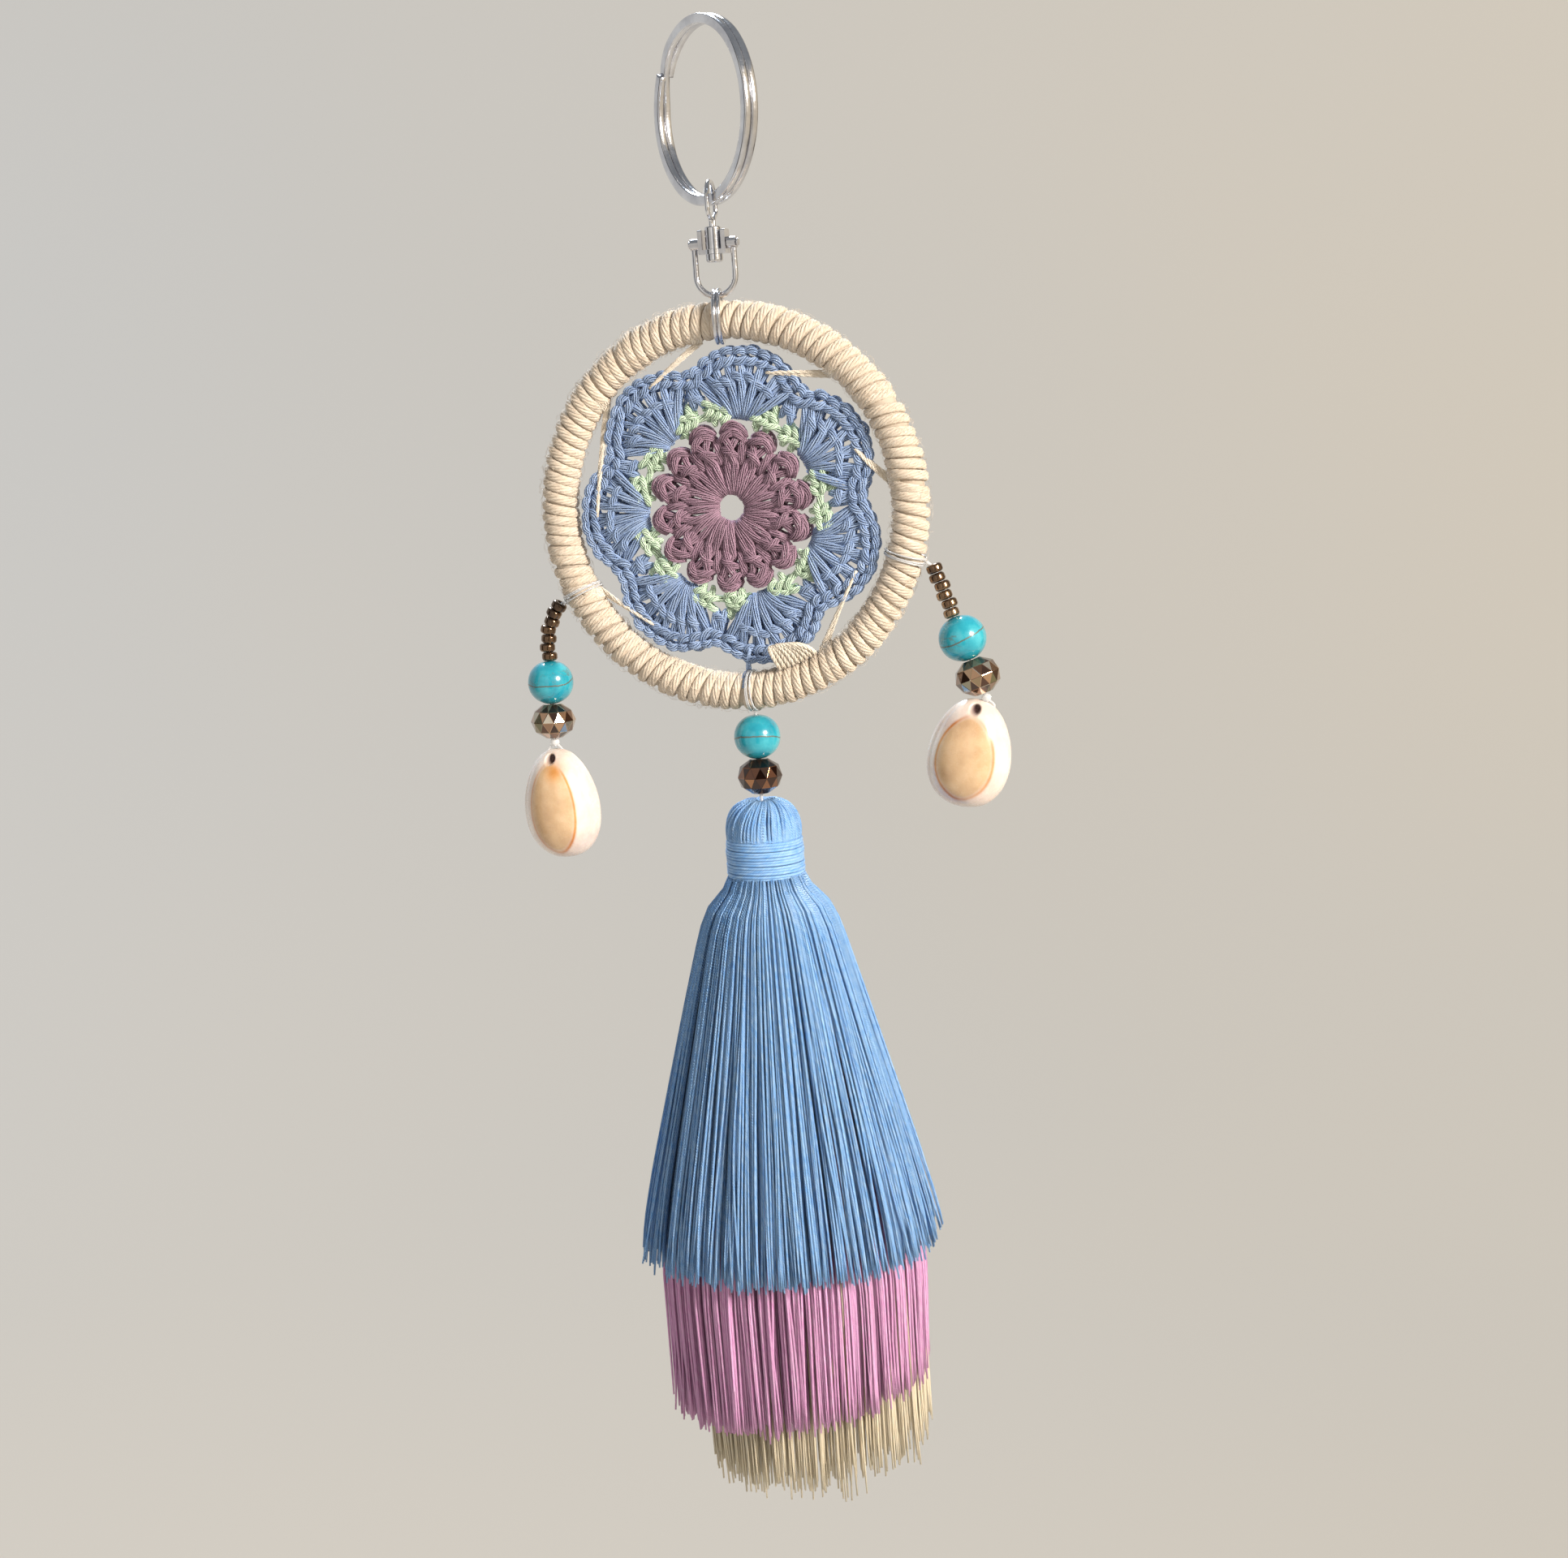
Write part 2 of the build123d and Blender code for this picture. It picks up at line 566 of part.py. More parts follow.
make_wrap("wrap_centre", math.degrees(DROP_X / HOOP_R) - 90)
down = Vector(0, 0, -1)
drop_turquoise = Vector(DROP_X, 0, DROP_TURQUOISE_Z)
make_turquoise("centre_turquoise", drop_turquoise, down)
make_rondelle("centre_rondelle", drop_turquoise + down * BEAD_SPACING, down)
with BuildPart() as centre_thread:
    with BuildSketch(Plane(origin=(DROP_X, 0, DROP_KNOT_Z))):
        Circle(THREAD_R)
    extrude(amount=DROP_TOP_Z - DROP_KNOT_Z)
    with Locations((DROP_X, 0, DROP_KNOT_Z)):
        Sphere(DROP_KNOT_R)
save(centre_thread, "centre_thread")

# ---------------------------------------------------------------- tassel
tassel_section = Plane(origin=(DROP_X, 0, 0), x_dir=(1, 0, 0), z_dir=(0, -1, 0))
tassel_axis = Axis((DROP_X, 0, 0), (0, 0, 1))
knot_pocket_r = DROP_KNOT_R + KNOT_POCKET_GAP
pocket_mouth_height = DOME_TOP_Z - DROP_KNOT_Z + POCKET_MOUTH_LOW_R

with BuildPart() as tassel_head:
    with BuildSketch(tassel_section):
        with BuildLine():
            Line((0, DOME_TOP_Z), (0, NECK_TOP_Z))
            Line((0, NECK_TOP_Z), (DOME_R, NECK_TOP_Z))
            Line((DOME_R, NECK_TOP_Z), (DOME_R, NECK_TOP_Z + DOME_SIDE))
            Spline(
                (DOME_R, NECK_TOP_Z + DOME_SIDE),
                (DOME_SHOULDER_R, DOME_TOP_Z - DOME_SHOULDER_DROP),
                (0, DOME_TOP_Z),
                tangents=((0, 1), (-1, 0)),
            )
        make_face()
    revolve(axis=tassel_axis)
    with Locations((DROP_X, 0, DROP_KNOT_Z)):
        Sphere(knot_pocket_r, mode=Mode.SUBTRACT)
        Cone(
            POCKET_MOUTH_LOW_R,
            POCKET_MOUTH_TOP_R,
            pocket_mouth_height,
            align=(Align.CENTER, Align.CENTER, Align.MIN),
            mode=Mode.SUBTRACT,
        )
save(tassel_head, "tassel_head")


def make_ring(name, inner, outer, top, bottom, rounding):
    """Plain bound ring on the tassel's axis."""
    with BuildPart() as ring:
        with BuildSketch(Plane(origin=(DROP_X, 0, bottom))):
            Circle(outer)
            Circle(inner, mode=Mode.SUBTRACT)
        extrude(amount=top - bottom)
        rims = ring.edges().filter_by(GeomType.CIRCLE).sort_by(SortBy.RADIUS)[-2:]
        fillet(rims, rounding)
    save(ring, name)


make_ring(
    "tassel_neck_wrap",
    BUNDLE_BLUE_R + LAYER_GAP,
    NECK_R,
    NECK_TOP_Z - LAYER_GAP,
    NECK_BOTTOM_Z,
    NECK_ROUND,
)
make_ring(
    "tassel_inner_tie",
    BUNDLE_CREAM_R + LAYER_GAP,
    BUNDLE_PINK_R,
    NECK_TOP_Z - LAYER_GAP,
    NECK_TOP_Z - TIE_HEIGHT,
    TIE_ROUND,
)


def flare(neck_r, inset):
    """Points of a skirt's line: from under the neck wrap down the flare, set in from its outside."""
    return [(neck_r, NECK_BOTTOM_Z)] + [(radius - inset, height) for radius, height in FLARE]


def make_skirt(name, outer_points, inner_points, hem, top_z):
    """Skirt of hanging threads as a closed shell: outer line down, hem across, inner line back up."""
    hem_r, hem_z = hem
    top_outer = (outer_points[0][0], top_z)
    top_inner = (inner_points[0][0], top_z)
    with BuildPart() as skirt:
        with BuildSketch(tassel_section):
            with BuildLine():
                outer = Spline(*outer_points)
                inner = Spline(*inner_points)
                Line(outer @ 1, (hem_r, hem_z))
                Line((hem_r, hem_z), (hem_r - SKIRT_WALL, hem_z))
                Line((hem_r - SKIRT_WALL, hem_z), inner @ 1)
                Line(outer @ 0, top_outer)
                Line(top_outer, top_inner)
                Line(top_inner, inner @ 0)
            make_face()
        revolve(axis=tassel_axis)
    save(skirt, name)


pink_inset = SKIRT_WALL + SKIRT_GAP
cream_inset = 2 * pink_inset
make_skirt(
    "tassel_skirt_blue",
    flare(BUNDLE_BLUE_R, 0),
    flare(BUNDLE_PINK_R + LAYER_GAP, SKIRT_WALL),
    (BLUE_HEM_R, BLUE_HEM_Z),
    NECK_TOP_Z - LAYER_GAP,
)
make_skirt(
    "tassel_skirt_pink",
    flare(BUNDLE_PINK_R, pink_inset),
    flare(BUNDLE_CREAM_R + LAYER_GAP, pink_inset + SKIRT_WALL),
    (PINK_HEM_R, PINK_HEM_Z),
    NECK_TOP_Z - TIE_HEIGHT - LAYER_GAP,
)

cream_top_z = NECK_TOP_Z - LAYER_GAP
with BuildPart() as tassel_skirt_cream:
    with BuildSketch(tassel_section):
        with BuildLine():
            cream_outer = Spline(*flare(BUNDLE_CREAM_R, cream_inset))
            Line(cream_outer @ 1, (CREAM_HEM_R, CREAM_HEM_Z))
            Line((CREAM_HEM_R, CREAM_HEM_Z), (0, CREAM_HEM_Z))
            Line((0, CREAM_HEM_Z), (0, cream_top_z))
            Line((0, cream_top_z), (BUNDLE_CREAM_R, cream_top_z))
            Line((BUNDLE_CREAM_R, cream_top_z), cream_outer @ 0)
        make_face()
    revolve(axis=tassel_axis)
save(tassel_skirt_cream, "tassel_skirt_cream")
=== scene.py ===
import json
import math

import bmesh
import bpy
import numpy as np
from mathutils import Matrix, Vector


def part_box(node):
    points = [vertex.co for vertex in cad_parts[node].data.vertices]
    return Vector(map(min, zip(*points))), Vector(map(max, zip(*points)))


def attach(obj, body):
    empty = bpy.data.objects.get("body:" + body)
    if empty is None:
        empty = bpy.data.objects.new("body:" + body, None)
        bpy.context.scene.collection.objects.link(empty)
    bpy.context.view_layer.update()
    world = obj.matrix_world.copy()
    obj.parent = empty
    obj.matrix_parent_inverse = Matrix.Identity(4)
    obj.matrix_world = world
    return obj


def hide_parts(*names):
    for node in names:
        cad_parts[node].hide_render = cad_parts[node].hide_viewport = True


# Dream catcher charm. Shapes are worked out in millimetres and turned into metres as each mesh is made.
MM = 0.001
TAU = math.tau

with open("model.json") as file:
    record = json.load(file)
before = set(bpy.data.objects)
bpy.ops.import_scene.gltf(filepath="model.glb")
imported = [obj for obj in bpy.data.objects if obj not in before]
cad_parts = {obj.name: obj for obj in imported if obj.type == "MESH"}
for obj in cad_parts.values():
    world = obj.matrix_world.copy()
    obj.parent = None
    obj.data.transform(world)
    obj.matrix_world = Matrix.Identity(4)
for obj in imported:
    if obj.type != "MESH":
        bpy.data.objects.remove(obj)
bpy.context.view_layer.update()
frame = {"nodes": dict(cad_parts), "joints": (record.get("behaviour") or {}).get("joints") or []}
joints = {j["name"]: j for j in frame["joints"]}


def box_centre(node):
    """Centre of a CAD node's box, in millimetres."""
    low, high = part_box(node)
    return np.array((low + high) / 2) / MM


def box_size(node):
    """Size of a CAD node's box, in millimetres."""
    low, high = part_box(node)
    return np.array(high - low) / MM


def joint_at(name):
    """Where a joint is, in millimetres."""
    return np.array(joints[name]["pos_m"]) / MM


# ---------- camera
HOOP = box_centre("hoop_winding")
CAM_AZIMUTH = math.radians(19.2)
CAM_ELEVATION = math.radians(2.8)
CAM_DISTANCE = 400.0
CAM_ROLL = math.radians(-3.81)
CAM_LENS = 55.28
AIM_RIGHT = 5.61
AIM_UP = -45.9


def add_camera():
    level_right = Vector((math.cos(CAM_AZIMUTH), math.sin(CAM_AZIMUTH), 0))
    back = Vector(
        (
            math.sin(CAM_AZIMUTH) * math.cos(CAM_ELEVATION),
            -math.cos(CAM_AZIMUTH) * math.cos(CAM_ELEVATION),
            math.sin(CAM_ELEVATION),
        )
    )
    centre = Vector(HOOP)
    place = centre + back * CAM_DISTANCE
    aim = centre + level_right * AIM_RIGHT + Vector((0, 0, AIM_UP))
    forward = (aim - place).normalized()
    right = forward.cross(Vector((0, 0, 1))).normalized()
    up = right.cross(forward)
    rolled_right = right * math.cos(CAM_ROLL) + up * math.sin(CAM_ROLL)
    rolled_up = up * math.cos(CAM_ROLL) - right * math.sin(CAM_ROLL)
    turn = Matrix((rolled_right, rolled_up, -forward)).transposed()
    data = bpy.data.cameras.new("camera")
    data.lens = CAM_LENS
    data.sensor_width = 36
    data.clip_start = 0.01
    data.clip_end = 20
    camera = bpy.data.objects.new("camera", data)
    camera.matrix_world = Matrix.Translation(place * MM) @ turn.to_4x4()
    bpy.context.scene.collection.objects.link(camera)
    bpy.context.scene.camera = camera


add_camera()


# ---------- mesh helpers
def unit(v):
    return v / np.maximum(np.linalg.norm(v, axis=-1, keepdims=True), 1e-9)


def directions(paths, closed):
    if closed:
        return unit(np.roll(paths, -1, 1) - np.roll(paths, 1, 1))
    return unit(np.gradient(paths, axis=1))


def frames(paths, closed=False, face=None):
    """Side and outward directions along each path. With face, outward is as near to face as it can be."""
    along = directions(paths, closed)
    if face is not None:
        side = unit(np.cross(along, np.broadcast_to(face, along.shape)))
        return side, np.cross(side, along)
    start = np.where(np.abs(along[:, :1, 2:]) < 0.8, [[[0.0, 0.0, 1.0]]], [[[1.0, 0.0, 0.0]]])
    current = start[:, 0]
    side = np.empty_like(paths)
    for i in range(paths.shape[1]):
        t = along[:, i]
        current = unit(current - t * np.sum(current * t, axis=1, keepdims=True))
        side[:, i] = current
    return side, np.cross(along, side)


def bundle(paths, half_width, half_thick, strands, turns, seed, face=None, pinch=0.0):
    """Splits each path into fine strands that wind round it. Returns (paths x strands, steps, 3)."""
    rng = np.random.default_rng(seed)
    count, steps, _ = paths.shape
    side, out = frames(paths, face=face)
    t = np.linspace(0, 1, steps)
    phase = rng.random((count, 1, 1)) * TAU + np.arange(strands)[None, :, None] * TAU / strands
    phase = phase + turns * TAU * t
    narrow = 1 - pinch * np.abs(2 * t - 1) ** 3
    across = np.cos(phase) * half_width * narrow
    deep = np.sin(phase) * half_thick * narrow
    split = paths[:, None] + across[..., None] * side[:, None] + deep[..., None] * out[:, None]
    return split.reshape(count * strands, steps, 3)


def tubes(paths, radius, sides=6, closed=False, lay=0.0, tone=(0.85, 1.0), seed=0, taper=0.0):
    """Round strands along paths, as one part: vertices, faces, UVs and a tone for each strand.

    U is the length in millimetres from a random start, and V is the turn round the strand, twisted by lay.
    """
    paths = np.asarray(paths, float)
    count, steps, _ = paths.shape
    rng = np.random.default_rng(seed + 1000)
    side, out = frames(paths, closed)
    run = np.linalg.norm(np.diff(paths, axis=1), axis=2)
    length = np.concatenate([np.zeros((count, 1)), np.cumsum(run, axis=1)], axis=1)
    length = length + rng.uniform(0, 300, (count, 1))
    angle = np.arange(sides) * TAU / sides
    t = np.linspace(0, 1, steps)
    size = np.broadcast_to(np.asarray(radius, float), (count, steps)) * (1 - taper * np.abs(2 * t - 1) ** 6)
    verts = (
        paths[:, :, None]
        + (size[..., None] * np.cos(angle))[..., None] * side[:, :, None]
        + (size[..., None] * np.sin(angle))[..., None] * out[:, :, None]
    )
    spans = steps if closed else steps - 1
    s = np.arange(count)[:, None, None] * steps * sides
    i = np.arange(spans)[None, :, None]
    j = np.arange(sides)[None, None, :]
    nexti = (i + 1) % steps
    nextj = (j + 1) % sides
    here, ahead = s + i * sides, s + nexti * sides
    quads = np.stack([here + j, here + nextj, ahead + nextj, ahead + j], -1)
    total = length if not closed else np.concatenate([length, length[:, -1:] + run[:, -1:]], axis=1)
    u0 = np.broadcast_to(total[:, :spans, None], quads.shape[:3])
    u1 = np.broadcast_to(total[:, 1 : spans + 1, None], quads.shape[:3])
    v0 = np.broadcast_to(j / sides, quads.shape[:3])
    v1 = v0 + 1 / sides
    uv = np.stack(
        [
            np.stack([u0, v0 + lay * u0], -1),
            np.stack([u0, v1 + lay * u0], -1),
            np.stack([u1, v1 + lay * u1], -1),
            np.stack([u1, v0 + lay * u1], -1),
        ],
        3,
    )
    faces = [quads.reshape(-1, 4)]
    uvs = [uv.reshape(-1, 4, 2)]
    if not closed:
        first = s[:, :, 0] + np.arange(sides)[::-1][None, :]
        last = s[:, :, 0] + (steps - 1) * sides + np.arange(sides)[None, :]
        caps = np.concatenate([first, last])
        faces.append(caps)
        uvs.append(np.zeros(caps.shape + (2,)))
    tones = np.repeat(rng.uniform(*tone, count), steps * sides)
    return {"verts": verts.reshape(-1, 3), "faces": faces, "uvs": uvs, "tone": tones}


def grid(points, closed_v=False):
    """A part from a grid of points (rows, columns, 3), whose rows are closed loops."""
    rows, columns, _ = points.shape
    i = np.arange(rows if closed_v else rows - 1)[:, None]
    j = np.arange(columns)[None, :]
    ni, nj = (i + 1) % rows, (j + 1) % columns
    quads = np.stack([i * columns + j, i * columns + nj, ni * columns + nj, ni * columns + j], -1)
    u = np.stack([j + 0 * i, j + 1 + 0 * i, j + 1 + 0 * i, j + 0 * i], -1) / columns
    v = np.stack([i + 0 * j, i + 0 * j, i + 1 + 0 * j, i + 1 + 0 * j], -1) / rows
    uv = np.stack([u, v], -1)
    return {
        "verts": points.reshape(-1, 3),
        "faces": [quads.reshape(-1, 4)],
        "uvs": [uv.reshape(-1, 4, 2)],
        "tone": np.ones(rows * columns),
    }


def piece(name, parts, material, body, replaces=(), masks=None):
    """Makes one mesh object from parts, and parents it to its body's empty."""
    verts = np.concatenate([p["verts"] for p in parts]) * MM
    tone = np.concatenate([p["tone"] for p in parts])
    shift, loops, sizes, uvs = 0, [], [], []
    for p in parts:
        for faces, uv in zip(p["faces"], p["uvs"]):
            loops.append((faces + shift).ravel())
            sizes.append(np.full(len(faces), faces.shape[1]))
            uvs.append(uv.reshape(-1, 2))
        shift += len(p["verts"])
    loops, sizes, uvs = np.concatenate(loops), np.concatenate(sizes), np.concatenate(uvs)
    mesh = bpy.data.meshes.new(name)
    mesh.vertices.add(len(verts))
    mesh.vertices.foreach_set("co", verts.astype(np.float32).ravel())
    mesh.loops.add(len(loops))
    mesh.loops.foreach_set("vertex_index", loops.astype(np.int32))
    mesh.polygons.add(len(sizes))
    mesh.polygons.foreach_set("loop_start", (np.cumsum(sizes) - sizes).astype(np.int32))
    mesh.polygons.foreach_set("use_smooth", np.ones(len(sizes), bool))
    mesh.update(calc_edges=True)
    layer = mesh.uv_layers.new(name="strand")
    layer.data.foreach_set("uv", uvs.astype(np.float32).ravel())
    attribute = mesh.attributes.new("tone", "FLOAT", "POINT")
    attribute.data.foreach_set("value", tone.astype(np.float32))
    for key, values in (masks or {}).items():
        attribute = mesh.attributes.new(key, "FLOAT", "POINT")
        attribute.data.foreach_set("value", values.astype(np.float32))
    mesh.validate()
    return adopt(mesh, name, material, body, replaces)


def adopt(mesh, name, material, body, replaces=()):
    mesh.materials.clear()
    mesh.materials.append(material)
    made = bpy.data.objects.new(name, mesh)
    bpy.context.scene.collection.objects.link(made)
    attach(made, body)
    if replaces:
        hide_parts(*replaces)
    return made


# ---------- material helpers
def rgb(*display):
    """A colour given as red, green and blue display values from 0 to 255."""
    low = [c / 255 / 12.92 for c in display]
    high = [((c / 255 + 0.055) / 1.055) ** 2.4 for c in display]
    return tuple(a if c <= 10 else b for c, a, b in zip(display, low, high)) + (1.0,)


class Nodes:
    """Short names for building one material's node tree."""

    def __init__(self, name):
        self.material = bpy.data.materials.new(name)
        self.material.use_nodes = True
        self.tree = self.material.node_tree
        self.shader = self.tree.nodes["Principled BSDF"]

    def add(self, kind, **settings):
        node = self.tree.nodes.new(kind)
        for key, value in settings.items():
            setattr(node, key, value)
        return node

    def link(self, a, b):
        self.tree.links.new(a, b)

    def coordinates(self, which="Object"):
        return self.add("ShaderNodeTexCoord").outputs[which]

    def scaled(self, source, scale):
        node = self.add("ShaderNodeMapping")
        node.inputs["Scale"].default_value = scale
        self.link(source, node.inputs["Vector"])
        return node.outputs["Vector"]

    def noise(self, source, scale, detail=3.0, roughness=0.5, distortion=0.0):
        node = self.add("ShaderNodeTexNoise")
        node.inputs["Scale"].default_value = scale
        node.inputs["Detail"].default_value = detail
        node.inputs["Roughness"].default_value = roughness
        node.inputs["Distortion"].default_value = distortion
        self.link(source, node.inputs["Vector"])
        return node.outputs["Fac"]

    def ramp(self, source, stops, interpolation="LINEAR"):
        node = self.add("ShaderNodeValToRGB")
        node.color_ramp.interpolation = interpolation
        elements = node.color_ramp.elements
        while len(elements) < len(stops):
            elements.new(0.5)
        for element, (place, colour) in zip(elements, stops):
            element.position = place
            element.color = colour
        self.link(source, node.inputs["Fac"])
        return node.outputs["Color"]

    def value(self, name):
        return self.add("ShaderNodeAttribute", attribute_name=name).outputs["Fac"]

    def math(self, operation, a, b=None):
        node = self.add("ShaderNodeMath", operation=operation)
        for socket, given in zip(node.inputs, (a, b)):
            if given is None:
                continue
            if isinstance(given, (int, float)):
                socket.default_value = given
            else:
                self.link(given, socket)
        return node.outputs[0]

    def spread(self, source, low, high, to_low=0.0, to_high=1.0):
        node = self.add("ShaderNodeMapRange")
        for key, given in zip(("From Min", "From Max", "To Min", "To Max"), (low, high, to_low, to_high)):
            node.inputs[key].default_value = given
        self.link(source, node.inputs["Value"])
        return node.outputs["Result"]

    def mix(self, factor, a, b, blend="MIX"):
        node = self.add("ShaderNodeMix", data_type="RGBA", blend_type=blend)
        for socket, given in ((node.inputs[0], factor), (node.inputs[6], a), (node.inputs[7], b)):
            if isinstance(given, (int, float)):
                socket.default_value = given
            elif isinstance(given, tuple):
                socket.default_value = given
            else:
                self.link(given, socket)
        return node.outputs[2]

    def bump(self, height, strength, distance):
        node = self.add("ShaderNodeBump")
        node.inputs["Strength"].default_value = strength
        node.inputs["Distance"].default_value = distance
        self.link(height, node.inputs["Height"])
        return node.outputs["Normal"]

    def set(self, **plain):
        for key, given in plain.items():
            self.shader.inputs[key.replace("_", " ")].default_value = given


def yarn_material(
    name, light, middle, dark, roughness, sheen, fibres=9.0, plies=0, depth=0.00012, streak=0.5
):
    """Spun thread: three shades that wander along it, a tone for each strand, fibres and plies as bump, and
    painted shade in the grooves between plies.
    """
    n = Nodes(name)
    along = n.add("ShaderNodeUVMap", uv_map="strand").outputs["UV"]
    slow = n.noise(n.scaled(along, (0.22, 1.3, 1.0)), 1.0, 3.0, 0.6)
    shade = n.ramp(slow, [(0.3, middle), (0.7, light)])
    grey = n.add("ShaderNodeCombineColor")
    for key in ("Red", "Green", "Blue"):
        n.link(n.value("tone"), grey.inputs[key])
    toned = n.mix(1.0, shade, grey.outputs["Color"], "MULTIPLY")
    fine = n.noise(n.scaled(along, (0.9, fibres, 1.0)), 1.0, 3.0, 0.6)
    streaked = n.mix(n.spread(fine, 0.25, 0.6, streak, 0.0), toned, dark)
    height = fine
    if plies:
        turns = n.add("ShaderNodeSeparateXYZ")
        n.link(along, turns.inputs["Vector"])
        wave = n.math("SINE", n.math("MULTIPLY", turns.outputs["Y"], TAU * plies))
        groove = n.math("ABSOLUTE", wave)
        # painted shade: the grooves between the plies are darkened towards the dark shade
        streaked = n.mix(n.spread(groove, 0.0, 0.4, 0.5, 0.0), streaked, dark)
        height = n.math("ADD", groove, n.math("MULTIPLY", fine, 0.4))
    n.link(streaked, n.shader.inputs["Base Color"])
    n.link(n.spread(fine, 0.3, 0.7, roughness + 0.1, roughness - 0.08), n.shader.inputs["Roughness"])
    n.link(n.bump(height, 0.6, depth), n.shader.inputs["Normal"])
    n.set(Sheen_Weight=sheen, Sheen_Roughness=0.45, Specular_IOR_Level=0.4)
    n.set(Sheen_Tint=light)
    return n.material


def metal_material(name, colour, dark, roughness, scratch=0.05):
    """Bright plated metal: fine wear in roughness and a faint bump."""
    n = Nodes(name)
    place = n.coordinates("Object")
    cloud = n.noise(place, 180.0, 4.0, 0.6)
    n.link(n.ramp(cloud, [(0.3, dark), (0.62, colour)]), n.shader.inputs["Base Color"])
    wear = n.noise(n.scaled(place, (1.0, 1.0, 6.0)), 900.0, 3.0, 0.7)
    n.link(n.spread(wear, 0.35, 0.75, roughness, roughness + 0.16), n.shader.inputs["Roughness"])
    n.link(n.bump(wear, scratch, 0.00002), n.shader.inputs["Normal"])
    n.set(Metallic=1.0)
    return n.material


CHROME = metal_material("chrome", rgb(232, 232, 235), rgb(196, 196, 202), 0.1)
WIRE = metal_material("hoop_wire", rgb(190, 190, 188), rgb(150, 150, 150), 0.3)
COTTON = yarn_material(
    "cotton_yarn", rgb(232, 220, 204), rgb(216, 199, 178), rgb(134, 108, 84), 0.85, 0.3
)
MAUVE = yarn_material(
    "mauve_yarn", rgb(190, 158, 176), rgb(156, 122, 142), rgb(72, 46, 64), 0.85, 0.25
)
MINT = yarn_material(
    "mint_yarn", rgb(236, 250, 226), rgb(212, 238, 208), rgb(120, 166, 136), 0.85, 0.25
)
BLUE = yarn_material(
    "blue_yarn", rgb(184, 204, 232), rgb(146, 172, 212), rgb(50, 84, 156), 0.85, 0.25
)
WHITE = yarn_material(
    "white_yarn", rgb(244, 236, 222), rgb(232, 219, 201), rgb(166, 144, 118), 0.8, 0.3
)

def rayon(name, light, middle, dark, roughness):
    """Silky two-ply thread, with painted shade in the grooves between the plies."""
    return yarn_material(name, light, middle, dark, roughness, 0.1, 3.0, 2, 0.0002, 0.2)


BLUE_RAYON = rayon("blue_rayon", rgb(172, 210, 246), rgb(114, 173, 237), rgb(30, 78, 166), 0.3)
PINK_RAYON = rayon("pink_rayon", rgb(254, 204, 240), rgb(242, 168, 222), rgb(100, 48, 134), 0.32)
CREAM_RAYON = rayon("cream_rayon", rgb(255, 246, 224), rgb(248, 232, 200), rgb(176, 150, 110), 0.36)


def nylon_material():
    n = Nodes("nylon")
    place = n.coordinates("Object")
    cloud = n.noise(place, 500.0, 3.0)
    clear = n.ramp(cloud, [(0.3, rgb(236, 238, 242)), (0.7, rgb(255, 255, 255))])
    n.link(clear, n.shader.inputs["Base Color"])
    n.link(n.spread(cloud, 0.3, 0.7, 0.12, 0.28), n.shader.inputs["Roughness"])
    n.set(Transmission_Weight=0.55, IOR=1.42)
    return n.material


def turquoise_material():
    n = Nodes("turquoise_stone")
    place = n.coordinates("Object")
    cloud = n.noise(place, 260.0, 5.0, 0.6)
    body_shades = [(0.25, rgb(18, 122, 146)), (0.5, rgb(38, 152, 170)), (0.78, rgb(84, 184, 194))]
    body = n.ramp(cloud, body_shades)
    bend = n.noise(place, 90.0, 4.0, 0.55, 0.8)
    ridge = n.math("ABSOLUTE", n.math("SUBTRACT", bend, 0.5))
    patchy = n.noise(place, 130.0, 2.0)
    width = n.spread(patchy, 0.4, 0.7, 0.002, 0.012)
    vein = n.spread(n.math("DIVIDE", ridge, width), 0.5, 1.6, 1.0, 0.0)
    turned = n.add("ShaderNodeSeparateXYZ")
    n.link(n.add("ShaderNodeUVMap", uv_map="strand").outputs["UV"], turned.inputs["Vector"])
    round_it, down = turned.outputs["X"], turned.outputs["Y"]
    sway = n.math("MULTIPLY", n.math("SINE", n.math("MULTIPLY", round_it, TAU)), 0.07)
    line = n.math("ADD", n.math("ADD", sway, 0.47), n.math("MULTIPLY", bend, 0.12))
    gap = n.math("ABSOLUTE", n.math("SUBTRACT", down, line))
    long_vein = n.spread(gap, 0.006, 0.013, 0.9, 0.0)
    vein = n.math("MAXIMUM", n.math("MULTIPLY", vein, 0.5), long_vein)
    stone = n.mix(n.math("MULTIPLY", vein, 0.9), body, rgb(88, 72, 40))
    n.link(stone, n.shader.inputs["Base Color"])
    n.link(n.spread(vein, 0.0, 1.0, 0.22, 0.5), n.shader.inputs["Roughness"])
    n.link(n.bump(n.math("SUBTRACT", 1.0, vein), 0.25, 0.00006), n.shader.inputs["Normal"])
    n.set(Coat_Weight=0.8, Coat_Roughness=0.06)
    return n.material


def glass_material(name, shades, roughness):
    """Metal-coated glass, with a tone that wanders through it."""
    n = Nodes(name)
    place = n.coordinates("Object")
    cloud = n.noise(place, 160.0, 2.0)
    n.link(n.ramp(cloud, shades), n.shader.inputs["Base Color"])
    fine = n.noise(place, 1400.0, 3.0)
    n.link(n.spread(fine, 0.3, 0.8, roughness, roughness + 0.15), n.shader.inputs["Roughness"])
    n.set(Metallic=0.92, Coat_Weight=0.6, Coat_Roughness=0.04)
    return n.material


NYLON = nylon_material()
TURQUOISE = turquoise_material()
SEED_GLASS = glass_material(
    "bronze_seed_glass",
    [(0.3, rgb(62, 46, 34)), (0.5, rgb(124, 96, 70)), (0.7, rgb(176, 150, 118))],
    0.14,
)


